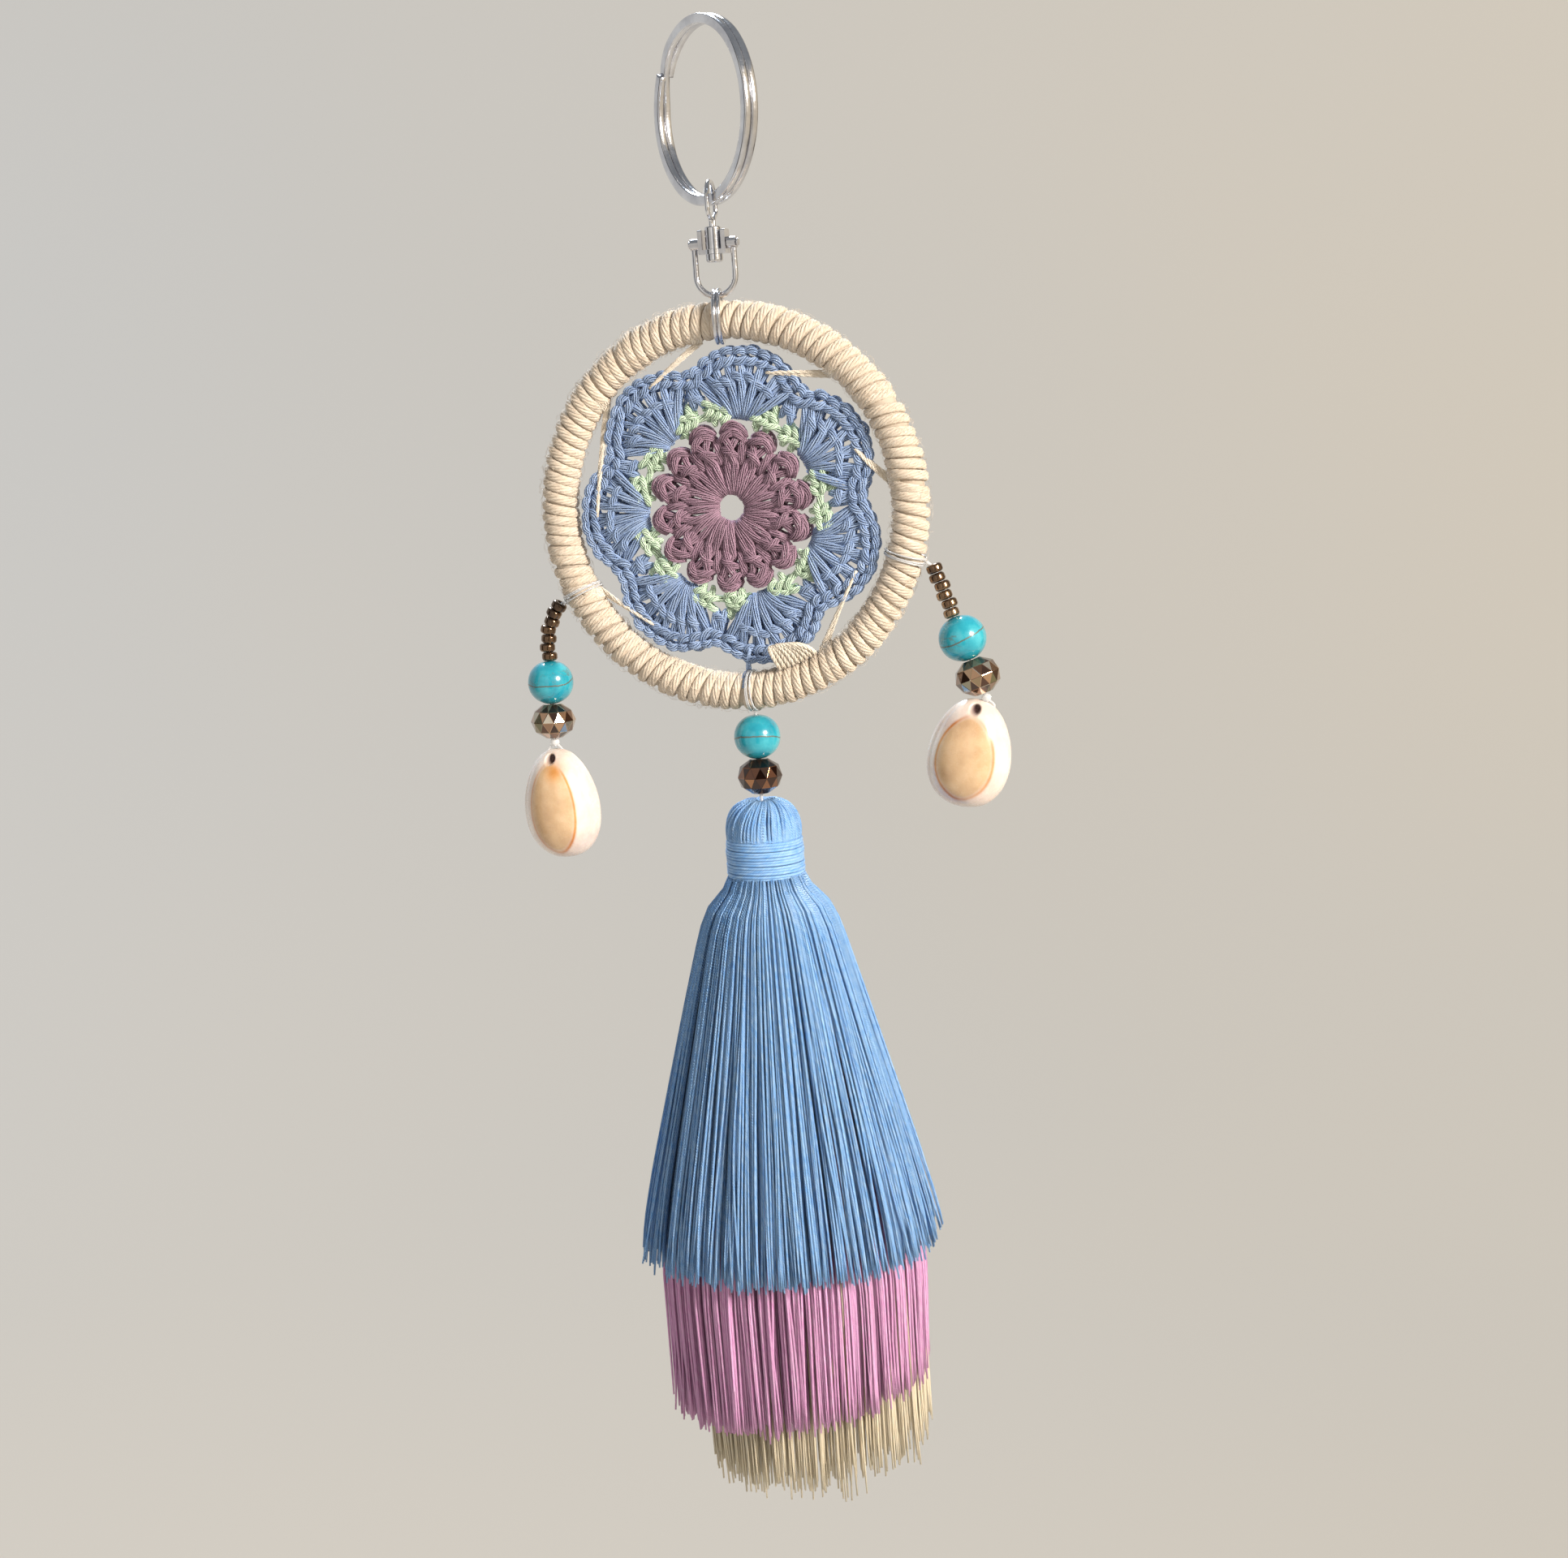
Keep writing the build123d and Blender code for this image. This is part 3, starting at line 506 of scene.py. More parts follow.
def rondelle_material(name, shades):
    n = Nodes(name)
    tone = n.value("tone")
    n.link(n.ramp(tone, shades), n.shader.inputs["Base Color"])
    fine = n.noise(n.coordinates("Object"), 900.0, 3.0)
    n.link(n.spread(fine, 0.3, 0.8, 0.05, 0.16), n.shader.inputs["Roughness"])
    n.set(Metallic=0.85, Coat_Weight=1.0, Coat_Roughness=0.03)
    return n.material


COPPER_GLASS = rondelle_material(
    "copper_facets",
    [
        (0.0, rgb(38, 26, 26)),
        (0.3, rgb(120, 84, 62)),
        (0.55, rgb(196, 158, 126)),
        (0.75, rgb(120, 116, 84)),
        (1.0, rgb(232, 222, 206)),
    ],
)
BROWN_GLASS = rondelle_material(
    "brown_facets",
    [
        (0.0, rgb(22, 12, 12)),
        (0.4, rgb(64, 38, 28)),
        (0.75, rgb(110, 66, 42)),
        (1.0, rgb(188, 132, 88)),
    ],
)


def cowrie_material():
    n = Nodes("cowrie_shell")
    place = n.coordinates("Object")
    cloud = n.noise(place, 170.0, 5.0, 0.6)
    fine = n.noise(place, 900.0, 4.0, 0.6)
    margin_shades = [(0.3, rgb(214, 192, 182)), (0.5, rgb(228, 212, 200)), (0.72, rgb(242, 232, 222))]
    margin = n.ramp(cloud, margin_shades)
    dome_shades = [(0.3, rgb(188, 152, 116)), (0.52, rgb(210, 177, 138)), (0.74, rgb(226, 197, 162))]
    dome = n.ramp(cloud, dome_shades)
    shell = n.mix(n.value("dome"), margin, dome)
    gold = n.ramp(cloud, [(0.3, rgb(176, 98, 20)), (0.7, rgb(222, 150, 46))])
    shell = n.mix(n.value("ring"), shell, gold)
    # painted shade: the drilled hole and the mouth slot (the pit mask) are darkened
    shell = n.mix(n.value("pit"), shell, rgb(92, 66, 66))
    n.link(shell, n.shader.inputs["Base Color"])
    n.link(n.spread(fine, 0.3, 0.7, 0.2, 0.32), n.shader.inputs["Roughness"])
    n.link(n.bump(fine, 0.08, 0.00004), n.shader.inputs["Normal"])
    n.set(Coat_Weight=0.7, Coat_Roughness=0.07, Subsurface_Weight=0.12, Subsurface_Scale=0.002)
    n.set(Subsurface_Radius=(1.0, 0.7, 0.5))
    return n.material


COWRIE = cowrie_material()


# ---------- metal rings
def split_ring(name, node, body, level, mid_r, half_radial, coil, squareness, mark, sides=20):
    """A ring of two coils in one length, which cross over at mark.

    level is the ring plane's flat direction, coil the thickness of one coil along the ring's axis.
    """
    centre = box_centre(node)
    across = unit(np.array([level[0], level[1], 0.0]))
    axis = np.array([-across[1], across[0], 0.0])
    steps = 260
    t = np.linspace(0, 2, steps)
    angle = mark + TAU * t
    ease = np.clip((t - 0.93) / 0.14, 0, 1)
    ease = ease * ease * (3 - 2 * ease)
    shift = (ease - 0.5) * coil
    radial = np.cos(angle)[:, None] * across + np.sin(angle)[:, None] * np.array([0, 0, 1.0])
    section = np.arange(sides) * TAU / sides
    power = 2 / squareness
    cos, sin = np.cos(section), np.sin(section)
    half_axial = coil / 2 - 0.01
    r = half_radial * np.sign(cos) * np.abs(cos) ** power
    a = half_axial * np.sign(sin) * np.abs(sin) ** power
    points = centre + (mid_r + r)[None, :, None] * radial[:, None]
    points = points + (shift[:, None] + a)[..., None] * axis
    part = grid(points)
    part["faces"].append(np.array([np.arange(sides)[::-1], (steps - 1) * sides + np.arange(sides)]))
    part["uvs"].append(np.zeros((2, sides, 2)))
    return piece(name, [part], CHROME, body, [node])


KEY_HALF_RADIAL = 0.85
KEY_COIL = 1.3
JUMP_HALF_RADIAL = 0.4
JUMP_COIL = 0.74
JUMP_YAW = math.radians(-77)
SWIVEL_PLATE = ("swivel_barrel", "swivel_rivet", "swivel_yoke", "bow_pin_left", "bow_pin_right")


def add_metal():
    tangent = np.array(joints["eye_swing"]["axis"])
    middle = box_size("key_ring")[2] / 2 - KEY_HALF_RADIAL
    mark = math.radians(150)
    split_ring(
        "split_key_ring", "key_ring", "key_ring", tangent, middle, KEY_HALF_RADIAL, KEY_COIL, 4.0, mark
    )
    level = (math.cos(JUMP_YAW), math.sin(JUMP_YAW))
    middle = box_size("jump_ring")[2] / 2 - JUMP_HALF_RADIAL
    mark = math.radians(60)
    split_ring(
        "split_jump_ring", "jump_ring", "jump_ring", level, middle, JUMP_HALF_RADIAL, JUMP_COIL, 2.2, mark, 14
    )
    for node in ("swivel_eye", *SWIVEL_PLATE, "swivel_bow"):
        give(node, CHROME)


def give(node, material):
    """A better material for a CAD node whose shape stays."""
    mesh = frame["nodes"][node].data
    mesh.materials.clear()
    mesh.materials.append(material)


add_metal()

# ---------- hoop winding
HOOP_R = 30.5
WRAPS = 106
WRAP_STEPS = 24
YARN_STRANDS = 7
YARN_OUT = 2.68
CORE_R = 2.5
HAIRS = 2600
TOP = np.pi / 2
BARE_AT_TOP = 0.14  # no loose hairs this near the jump ring


def torus_point(ring_angle, tube_angle, tube_r):
    """A point on the hoop's tube: ring angle from +X towards +Z, tube angle from outward towards -Y."""
    r = HOOP_R + tube_r * np.cos(tube_angle)
    return HOOP + np.stack([r * np.cos(ring_angle), -tube_r * np.sin(tube_angle), r * np.sin(ring_angle)], -1)


def add_winding():
    rng = np.random.default_rng(3)
    turn = np.arange(WRAPS * WRAP_STEPS) / WRAP_STEPS
    ring = turn / WRAPS * TAU
    tube = turn * TAU
    knots = np.arange(WRAPS + 1)
    wobble = rng.normal(0, 0.006, WRAPS + 1)
    wobble[-1] = wobble[0]
    puff = rng.normal(0, 0.07, WRAPS + 1)
    puff[-1] = puff[0]
    ring = ring + np.interp(turn, knots, wobble) - 0.012 * np.cos(tube)
    from_top = (ring - TOP) / 0.12
    swell = np.interp(turn, knots, puff) * (1 - np.exp(-(from_top**2))) - 0.05 * np.exp(-(from_top**2))
    lines = []
    for k in range(YARN_STRANDS):
        phase = k * TAU / YARN_STRANDS + turn * TAU * 2.0 + swell * 4
        out = YARN_OUT + swell + 0.24 * np.sin(phase)
        slide = 0.56 * np.cos(phase) / (HOOP_R + out * np.cos(tube))
        lines.append(torus_point(ring + slide, tube, out))
    yarn = tubes(np.array(lines), 0.3, 6, closed=True, lay=0.35, tone=(0.88, 1.0), seed=1)
    u = np.linspace(0, TAU, 200, endpoint=False)[:, None]
    v = np.linspace(0, TAU, 30, endpoint=False)[None, :]
    core = grid(torus_point(u + 0 * v, v + 0 * u, CORE_R), closed_v=True)
    # painted shade: the core under the wraps is darkened where it shows in the gaps between them
    core["tone"] = core["tone"] * 0.7
    piece("hoop_yarn", [yarn, core], COTTON, "hoop", ["hoop_winding"])
    base_ring = rng.uniform(TOP + BARE_AT_TOP, TOP + TAU - BARE_AT_TOP, HAIRS)
    base_tube = rng.uniform(0, TAU, HAIRS)
    drift = rng.normal(0, 0.035, HAIRS)
    swing = rng.normal(0, 0.5, HAIRS)
    rise = rng.uniform(0.15, 0.75, HAIRS) ** 1.3
    t = np.linspace(0, 1, 6)
    ring = base_ring[:, None] + drift[:, None] * t
    tube = base_tube[:, None] + swing[:, None] * t
    out = 3.1 + rise[:, None] * np.sin(np.pi * t * 0.8)
    fuzz = tubes(torus_point(ring, tube, out), 0.018, 3, tone=(0.95, 1.0), seed=2)
    piece("hoop_fuzz", [fuzz], COTTON, "hoop")


add_winding()

# ---------- rosette
SCALLOP_PHASE = math.radians(28)
SCALLOP_STEP = TAU / 7
FRONT = np.array([0.0, -1.0, 0.0])


def flat_point(radius, angle, height, face):
    """A point on the rosette: radius and angle round its centre, height in front of its middle plane."""
    radius, angle, height = np.broadcast_arrays(radius, angle, height)
    return HOOP + np.stack([radius * np.cos(angle), -face * height, radius * np.sin(angle)], -1)


def arcs(start, end, bulge, lift, base, face, steps=9):
    """Curved runs between polar points (radius, angle).

    bulge pushes the middle sideways, and lift raises it off the base height.
    """
    t = np.linspace(0, 1, steps)[None, :]
    a = flat_point(start[:, 0], start[:, 1], 0, face)[:, None]
    b = flat_point(end[:, 0], end[:, 1], 0, face)[:, None]
    side = unit(np.cross(b - a, FRONT))
    hump = 4 * t * (1 - t)
    bulge = np.broadcast_to(np.asarray(bulge, float), (len(start),))[:, None]
    lift = np.broadcast_to(np.asarray(lift, float), (len(start),))[:, None]
    height = base + lift * np.sin(np.pi * t) ** 0.6
    line = a + (b - a) * t[..., None] + side * (bulge * hump)[..., None]
    return line + FRONT * face * height[..., None]


class Crochet:
    """Collects curved runs of one yarn, then makes them as bundles of fine strands."""

    def __init__(self, seed, face):
        self.runs = []
        self.rng = np.random.default_rng(seed)
        self.face = face
        self.seed = seed

    def run(self, start_r, start_angle, end_r, end_angle, bulge, lift, base, loose=0.12):
        start = pairs(start_r, start_angle)
        end = pairs(end_r, end_angle)
        jitter = self.rng.normal(0, 1, (len(start), 6))
        start = start + jitter[:, 0:2] * np.array([loose, loose / 15])
        end = end + jitter[:, 2:4] * np.array([loose, loose / 15])
        bulge = bulge + jitter[:, 4] * loose
        lift = lift + jitter[:, 5] * loose * 0.5
        self.runs.append(arcs(start, end, bulge, lift, base, self.face))

    def part(self, half_width, half_thick, strands=6, radius=0.19, turns=0.6, pinch=0.45, sides=5):
        lines = np.concatenate(self.runs)
        split = bundle(lines, half_width, half_thick, strands, turns, self.seed, FRONT * self.face, pinch)
        return tubes(split, radius, sides, lay=0.3, tone=(0.62, 1.0), seed=self.seed, taper=0.35)


def ring_of(count, phase=0.0):
    return phase + np.arange(count) * TAU / count


def pairs(radius, angles):
    return np.stack([np.broadcast_to(radius, np.shape(angles)), angles], -1)


def mauve_side(face, seed):
    c = Crochet(seed, face)
    posts = 14
    angles = ring_of(posts, SCALLOP_PHASE + 0.1)
    for k, offset in enumerate((-0.11, 0.11)):
        c.run(2.3, angles + offset * 0.9, 8.8, angles + offset * 0.75, 0.15 * (1 - 2 * k), 0.75, 0.15)
    c.run(2.35, angles + 0.224, 7.2, angles + 0.224, 0.0, 0.35, 0.1)
    c.run(6.4, angles - 0.1, 12.6, angles + 0.16, 0.6, 1.05, 0.1)
    c.run(6.4, angles + 0.1, 12.6, angles - 0.16, -0.6, 0.8, 0.05)
    c.run(7.0, angles + 0.17, 11.6, angles + 0.17, -0.3, 0.6, 0.0)
    c.run(7.0, angles - 0.17, 11.6, angles - 0.17, 0.3, 0.6, 0.0)
    c.run(8.4, angles - 0.16, 9.8, angles + 0.17, 0.4, 0.75, 0.5)
    c.run(11.9, angles - 0.2, 12.2, angles + 0.17, 1.7, 0.8, 0.1)
    c.run(11.2, angles - 0.19, 12.6, angles + 0.12, 0.9, 0.95, 0.35)
    c.run(12.4, angles - 0.12, 10.9, angles + 0.18, 0.5, 0.9, 0.5)
    return c.part(0.5, 0.3, 8, 0.13, 0.45)


def mint_side(face, seed):
    c = Crochet(seed, face)
    centres = np.concatenate([SCALLOP_PHASE + SCALLOP_STEP * np.arange(7) + s for s in (-0.262, 0.262)])
    tilt = c.rng.uniform(-0.9, 0.9, len(centres))
    for k in (-1, 0, 1):
        along = centres + k * 0.085
        rise = k * tilt * 0.8
        c.run(15.9 + rise, along - 0.05, 16.9 + rise, along + 0.07, 0.35, 0.55, 0.2, 0.08)
        c.run(16.0 + rise, along - 0.05, 15.0 + rise, along + 0.07, -0.35, 0.55, 0.25, 0.08)
    c.run(13.4, centres - 0.05, 16.0, centres - 0.02, 0.2, 0.4, -0.1)
    c.run(13.4, centres + 0.06, 16.2, centres + 0.03, -0.2, 0.4, -0.1)
    c.run(16.6, centres - 0.08, 18.4, centres - 0.07, 0.2, 0.3, -0.1)
    between = SCALLOP_PHASE + SCALLOP_STEP * (np.arange(7) + 0.5)
    c.run(15.8, between - 0.16, 15.8, between + 0.16, -0.3, 0.3, -0.1)
    return c.part(0.44, 0.28, 7, 0.13, 0.5)


def blue_edge(delta):
    """Radius of the blue round's edge at an angle from its scallop's middle."""
    return 21.9 + 4.2 * np.abs(np.cos(np.pi * delta / SCALLOP_STEP)) ** 0.8


def blue_side(face, seed):
    c = Crochet(seed, face)
    fans = SCALLOP_PHASE + SCALLOP_STEP * np.arange(7)
    for j in (-2.5, -1.5, -0.5, 0.5, 1.5, 2.5):
        foot = j * 0.034
        head = j * 0.142
        top = blue_edge(head) - 1.5
        lean = (foot + head) / 2
        middle = 0.5 * (15.4 + top)
        c.run(14.7, fans + foot - 0.01, top, fans + head - 0.04, 0.3 + j * 0.15, 1.0, 0.1)
        c.run(14.7, fans + foot + 0.012, top + 0.2, fans + head + 0.04, -0.3 + j * 0.15, 0.7, 0.0)
        c.run(middle + 0.4, fans + lean - 0.05, middle + 1.7, fans + lean + 0.06, 0.3, 0.6, 0.6)
    stitches = 11
    for k in range(stitches):
        at = (k + 0.5 - stitches / 2) / stitches * SCALLOP_STEP
        ahead = at + SCALLOP_STEP / stitches * 1.25
        here, there = blue_edge(at), blue_edge(ahead)
        c.run(here - 0.8, fans + at, there - 0.5, fans + ahead, 0.55, 0.8, 0.2)
        c.run(here - 1.0, fans + at, there - 1.9, fans + ahead, -0.45, 0.75, 0.25)
    valleys = fans + SCALLOP_STEP / 2
    for offset in (-0.055, 0.055):
        c.run(17.0, valleys + offset, 21.4, valleys + offset * 0.4, offset * 4, 0.6, 0.0)
    c.run(18.4, valleys - 0.07, 19.3, valleys + 0.07, -0.2, 0.5, 0.3)
    for side in (-1, 1):
        c.run(17.2, fans + side * 0.25, 21.2, fans + side * 0.33, side * 0.3, 0.5, -0.1)
    return c.part(0.56, 0.34, 8, 0.14, 0.45)


def add_rosette():
    sides = {"front": 1.0, "back": -1.0}
    rounds = (
        ("mauve", mauve_side, MAUVE, "rosette_centre"),
        ("mint", mint_side, MINT, "rosette_mint_round"),
        ("blue", blue_side, BLUE, "rosette_blue_round"),
    )
    for label, face in sides.items():
        seed = 20 if face > 0 else 40
        for k, (colour, side, material, node) in enumerate(rounds):
            replaced = [node] if face > 0 else ()
            worked = side(face, seed + k)
            piece(f"{colour}_round_{label}", [worked], material, "hoop", replaced)


add_rosette()

# ---------- lacing from the hoop to the rosette
# Angles in degrees from +X towards +Z: where each strand leaves the hoop, and where it meets the rosette.
LACING = {
    "lacing_tie_1": (53.7, 70.0, 23.5),
    "lacing_tie_2": (96.0, 121.7, 24.4),
    "lacing_tie_3": (144.0, 181.0, 24.2),
    "lacing_tie_4": (213.0, 231.8, 24.6),
    "lacing_tie_5": (276.5, 274.5, 24.0),
    "lacing_tie_6": (307.0, 332.0, 24.4),
    "lacing_tie_7": (11.5, 21.0, 24.2),
}


def add_lacing():
    for k, (node, (from_deg, to_deg, inner_r)) in enumerate(LACING.items()):
        a, b = math.radians(from_deg), math.radians(to_deg)
        t = np.linspace(0, 1, 16)
        rng = np.random.default_rng(60 + k)
        lines = []
        for strand in range(5):
            spread = (strand - 2) * (0.16 if node == "lacing_tie_5" else 0.42)
            wrap = np.linspace(0.6 * np.pi, np.pi * 1.0, 7)
            start = a + (0.04 if node == "lacing_tie_2" else -0.075)
            lead_ring = start + spread / 32 + 0 * wrap + np.linspace(-0.03, 0, 7)
            lead = torus_point(lead_ring, wrap, np.linspace(2.4, 3.3, 7))
            tip = flat_point(inner_r - 0.6, b, 1.1, 1.0)
            gather = (strand - 2) * 0.11
            share = t[1:, None]
            run = lead[-1] + (tip - lead[-1]) * share + np.array([0, 0, gather]) * share * (1 - share)
            run[:, 1] -= 0.5 * np.sin(np.pi * t[1:]) * rng.uniform(0.6, 1.2)
            lines.append(np.concatenate([lead, run]))
        split = bundle(np.array(lines), 0.15, 0.15, 3, 4.0, 61 + k)
        colour = BLUE if node == "lacing_tie_5" else WHITE
        tie = tubes(split, 0.14, 5, tone=(0.85, 1.0), seed=k)
        piece(node.replace("tie", "strand"), [tie], colour, "hoop", [node])
    centre = box_centre("lacing_knot")
    rng = np.random.default_rng(80)
    lines = []
    for k in range(9):
        angle = math.radians(-68) + (k - 4) * 0.03
        t = np.linspace(0, 1, 14)
        outer = torus_point(angle, 0.8 * np.pi, 3.4)
        tail = centre + np.array([(k - 4) * 0.12 - 0.9, -0.8, 0.6])
        rise = np.array([(k - 4) * 0.3 + 0.6, -2.4 - 0.4 * rng.random(), 3.0 - abs(k - 4) * 0.2])
        top = (outer + tail) / 2 + rise
        lines.append(
            (1 - t)[:, None] ** 2 * outer + 2 * (t * (1 - t))[:, None] * top + (t**2)[:, None] * tail
        )
    fan = tubes(bundle(np.array(lines), 0.24, 0.24, 4, 2.0, 82), 0.2, 6, tone=(0.86, 1.0), seed=83)
    piece("lacing_fan", [fan], WHITE, "hoop", ["lacing_knot"])


add_lacing()


def add_clear_wraps():
    """A few turns of clear thread bind each hanging strand to the hoop."""
    for node, degrees in (("wrap_left", 205.2), ("wrap_right", -17.5), ("wrap_centre", -86.8)):
        turns = 5
        t = np.linspace(0, turns, turns * 30)
        ring = math.radians(degrees) + (t / turns - 0.5) * 0.042 + 0.006 * np.sin(t * 2.3)
        line = torus_point(ring, t * TAU, 3.42)[None]
        piece(f"{node}_thread", [tubes(line, 0.13, 8)], NYLON, "hoop", [node])


add_clear_wraps()

# ---------- beads
def axis_frame(axis):
    axis = unit(np.array(axis, float))
    across = unit(np.cross([0.0, 1.0, 0.0], axis))
    return across, np.cross(axis, across), axis


def lathe(name, node, joint, profile, material, body):
    """A turned bead round its joint's axis. profile is (radius, height) pairs."""
    across, deep, axis = axis_frame(joints[joint]["axis"])
    centre = bead_centre(joint, node)
    u = np.linspace(0, TAU, 96, endpoint=False)
    r, h = np.array(profile).T
    points = (
        centre
        + (r[:, None] * np.cos(u))[..., None] * across
        + (r[:, None] * np.sin(u))[..., None] * deep
        + (h[:, None] + 0 * u)[..., None] * axis
    )
    return piece(name, [grid(points)], material, body, [node])


def bead_centre(joint, node):
    """The bead's centre, on its joint's axis."""
    at, axis = joint_at(joint), unit(np.array(joints[joint]["axis"], float))
    return at + axis * np.dot(box_centre(node) - at, axis)


def add_turquoise():
    steps = np.linspace(0.03, 0.97, 60) * np.pi
    radius, half = 3.9, 3.7
    hole = 0.42
    profile = [(hole, half - 0.6), (hole, half - 0.08)]
    for s in steps:
        r = max(radius * math.sin(s) ** 0.92, hole + 0.03)
        profile.append((r, half * math.copysign(abs(math.cos(s)) ** 0.98, math.cos(s))))
    profile += [(hole, -half + 0.08), (hole, -half + 0.6)]
    for side in ("left", "right", "centre"):
        name = f"{side}_turquoise"
        lathe(f"{name}_bead", name, f"{name}_spin", profile, TURQUOISE, name)


def add_rondelles():
    rings = [(1.55, 2.9, 0.0), (3.25, 1.75, 0.5), (3.88, 0.0, 0.0), (3.25, -1.75, 0.5), (1.55, -2.9, 0.0)]
    sides = 12
    for side in ("left", "right", "centre"):
        node = f"{side}_rondelle"
        across, deep, axis = axis_frame(joints[f"{node}_spin"]["axis"])
        centre = bead_centre(f"{node}_spin", node)
        rng = np.random.default_rng({"left": 5, "right": 11, "centre": 17}[side])
        bm = bmesh.new()
        for radius, height, phase in rings:
            for k in range(sides):
                angle = (k + phase) * TAU / sides + 0.1
                spoke = across * radius * math.cos(angle) + deep * radius * math.sin(angle)
                point = centre + spoke + axis * height
                bm.verts.new(Vector(point * MM))
        bmesh.ops.convex_hull(bm, input=list(bm.verts))
        bmesh.ops.dissolve_limit(bm, angle_limit=0.02, verts=list(bm.verts), edges=list(bm.edges))
        bmesh.ops.bevel(
            bm,
            geom=list(bm.edges),
            offset=0.00005,
            segments=1,
            profile=0.5,
            affect="EDGES",
            clamp_overlap=True,
        )
        mesh = bpy.data.meshes.new(f"{node}_facets")
        bm.to_mesh(mesh)
        bm.free()
        tone = mesh.attributes.new("tone", "FLOAT", "FACE")
        tone.data.foreach_set("value", rng.random(len(mesh.polygons)).astype(np.float32))
        mesh.polygons.foreach_set("use_smooth", np.zeros(len(mesh.polygons), bool))
        material = BROWN_GLASS if side == "centre" else COPPER_GLASS
        adopt(mesh, f"{node}_facets", material, node, [node])


add_turquoise()
add_rondelles()
for node in frame["nodes"]:
    if "_seed_" in node:
        give(node, SEED_GLASS)
for node in ("left_thread", "right_thread", "centre_thread", "left_knot", "right_knot"):
    give(node, NYLON)
give("hoop_core", WIRE)


# ---------- cowries
def add_cowrie(side, centre, lean, half_length, half_width, ring_half, mark):
    """A ringed cowrie, its back to the front (-Y) and its toothed mouth to the rear."""
    rows, columns = 200, 224
    s = np.cos(np.linspace(0.004, 0.996, rows) * np.pi)[:, None]
    u = (np.linspace(0, TAU, columns, endpoint=False))[None, :]
    cos, sin = np.cos(u), np.sin(u)
    taper = (1 - s**2) ** 0.5
    width = half_width * taper**0.86 * (1 - 0.13 * s - 0.03 * s**2)
    front = np.where(sin > 0, 5.3, 3.1) * taper**0.95 * (1 - 0.1 * s)
    x = width * np.sign(cos) * np.abs(cos) ** 0.92
    y = -front * sin
    z = half_length * s + 0 * u
    side_bulge = 0.45 * np.exp(-((np.abs(cos) - 1) ** 2) / 0.012) * taper
    x = x + np.sign(cos) * side_bulge * 0.6
    # shoulder between the dome and the thick margin
    shoulder = np.exp(-((np.abs(x) / np.maximum(width, 0.1) - 0.86) ** 2) / 0.004) * (sin > 0.1)
    y = y + 0.18 * shoulder * taper
    # mouth on the rear, with teeth on both lips
    mouth_x = 0.5 * np.sin(s * 1.6) - 0.2
    off = (x - mouth_x) * (sin < 0.2)
    rear = sin < 0
    run = np.clip((1.02 - np.abs(s)) / 0.1, 0, 1)
    slot = np.exp(-((off / 0.55) ** 2)) * rear * run
    teeth = np.exp(-(((np.abs(off) - 1.25) / 0.7) ** 2)) * rear * run * np.cos(z * TAU / 1.05)
    y = y - 1.9 * slot + 0.17 * teeth
    # drilled hole for the loop, just below the top
    hole_z = half_length * 0.84
    reach = np.hypot(x - mark * 0.3, z - hole_z)
    pit = np.exp(-((reach / 0.75) ** 4)) * (sin > 0)
    y = y + 1.6 * pit
    dome_x = x / np.maximum(half_width * ring_half[0], 0.1)
    dome_z = (z + 0.3) / (half_length * ring_half[1])
    egg = np.hypot(dome_x * (1 + 0.12 * s), dome_z)
    wave = egg + 0.03 * np.sin(3 * u + mark) + 0.015 * np.sin(7 * u)
    dome = np.clip((1.02 - wave) / 0.12, 0, 1) * (sin > 0)
    ring = np.exp(-(((wave - 1.0) / 0.045) ** 2)) * (sin > 0.0)
    high_up = np.clip((z / half_length - 0.35) / 0.3, 0, 1)
    open_top = high_up * np.clip(1 - np.abs(x) / (0.45 * half_width), 0, 1)
    ring = ring * (1 - 0.8 * open_top) * (0.55 + 0.45 * np.sin(u * 2 + mark) ** 2)
    if mark < 0:
        patch = np.exp(-(((x - 0.8) / 1.5) ** 2) - (((z - 0.62 * half_length) / 1.6) ** 2)) * (sin > 0)
        ring = np.maximum(ring, 0.8 * patch)
    across = np.array([math.cos(lean), 0, -math.sin(lean)])
    up = np.array([math.sin(lean), 0, math.cos(lean)])
    points = centre + x[..., None] * across + np.array([0, 1.0, 0]) * y[..., None] + z[..., None] * up
    part = grid(points)
    top, bottom = np.arange(columns)[None], (rows - 1) * columns + np.arange(columns)[::-1][None]
    part["faces"] += [top, bottom]
    part["uvs"] += [np.zeros((1, columns, 2))] * 2
    # painted shade: darkness for the drilled hole and the mouth slot, stored as the pit mask
    dark = np.clip(pit * 1.1 + slot * 0.8, 0, 1)
    masks = {"dome": dome.ravel(), "ring": np.clip(ring, 0, 1).ravel(), "pit": dark.ravel()}
    body = f"{side}_cowrie"
    piece(f"{side}_ring_cowrie", [part], COWRIE, body, [body], masks=masks)


add_cowrie("left", np.array([-34.6, 0.0, -126.2]), math.radians(-3), 9.5, 6.5, (0.62, 0.8), -0.5)
add_cowrie("right", np.array([38.1, 0.0, -118.6]), math.radians(12.6), 9.0, 6.6, (0.72, 0.74), 0.6)

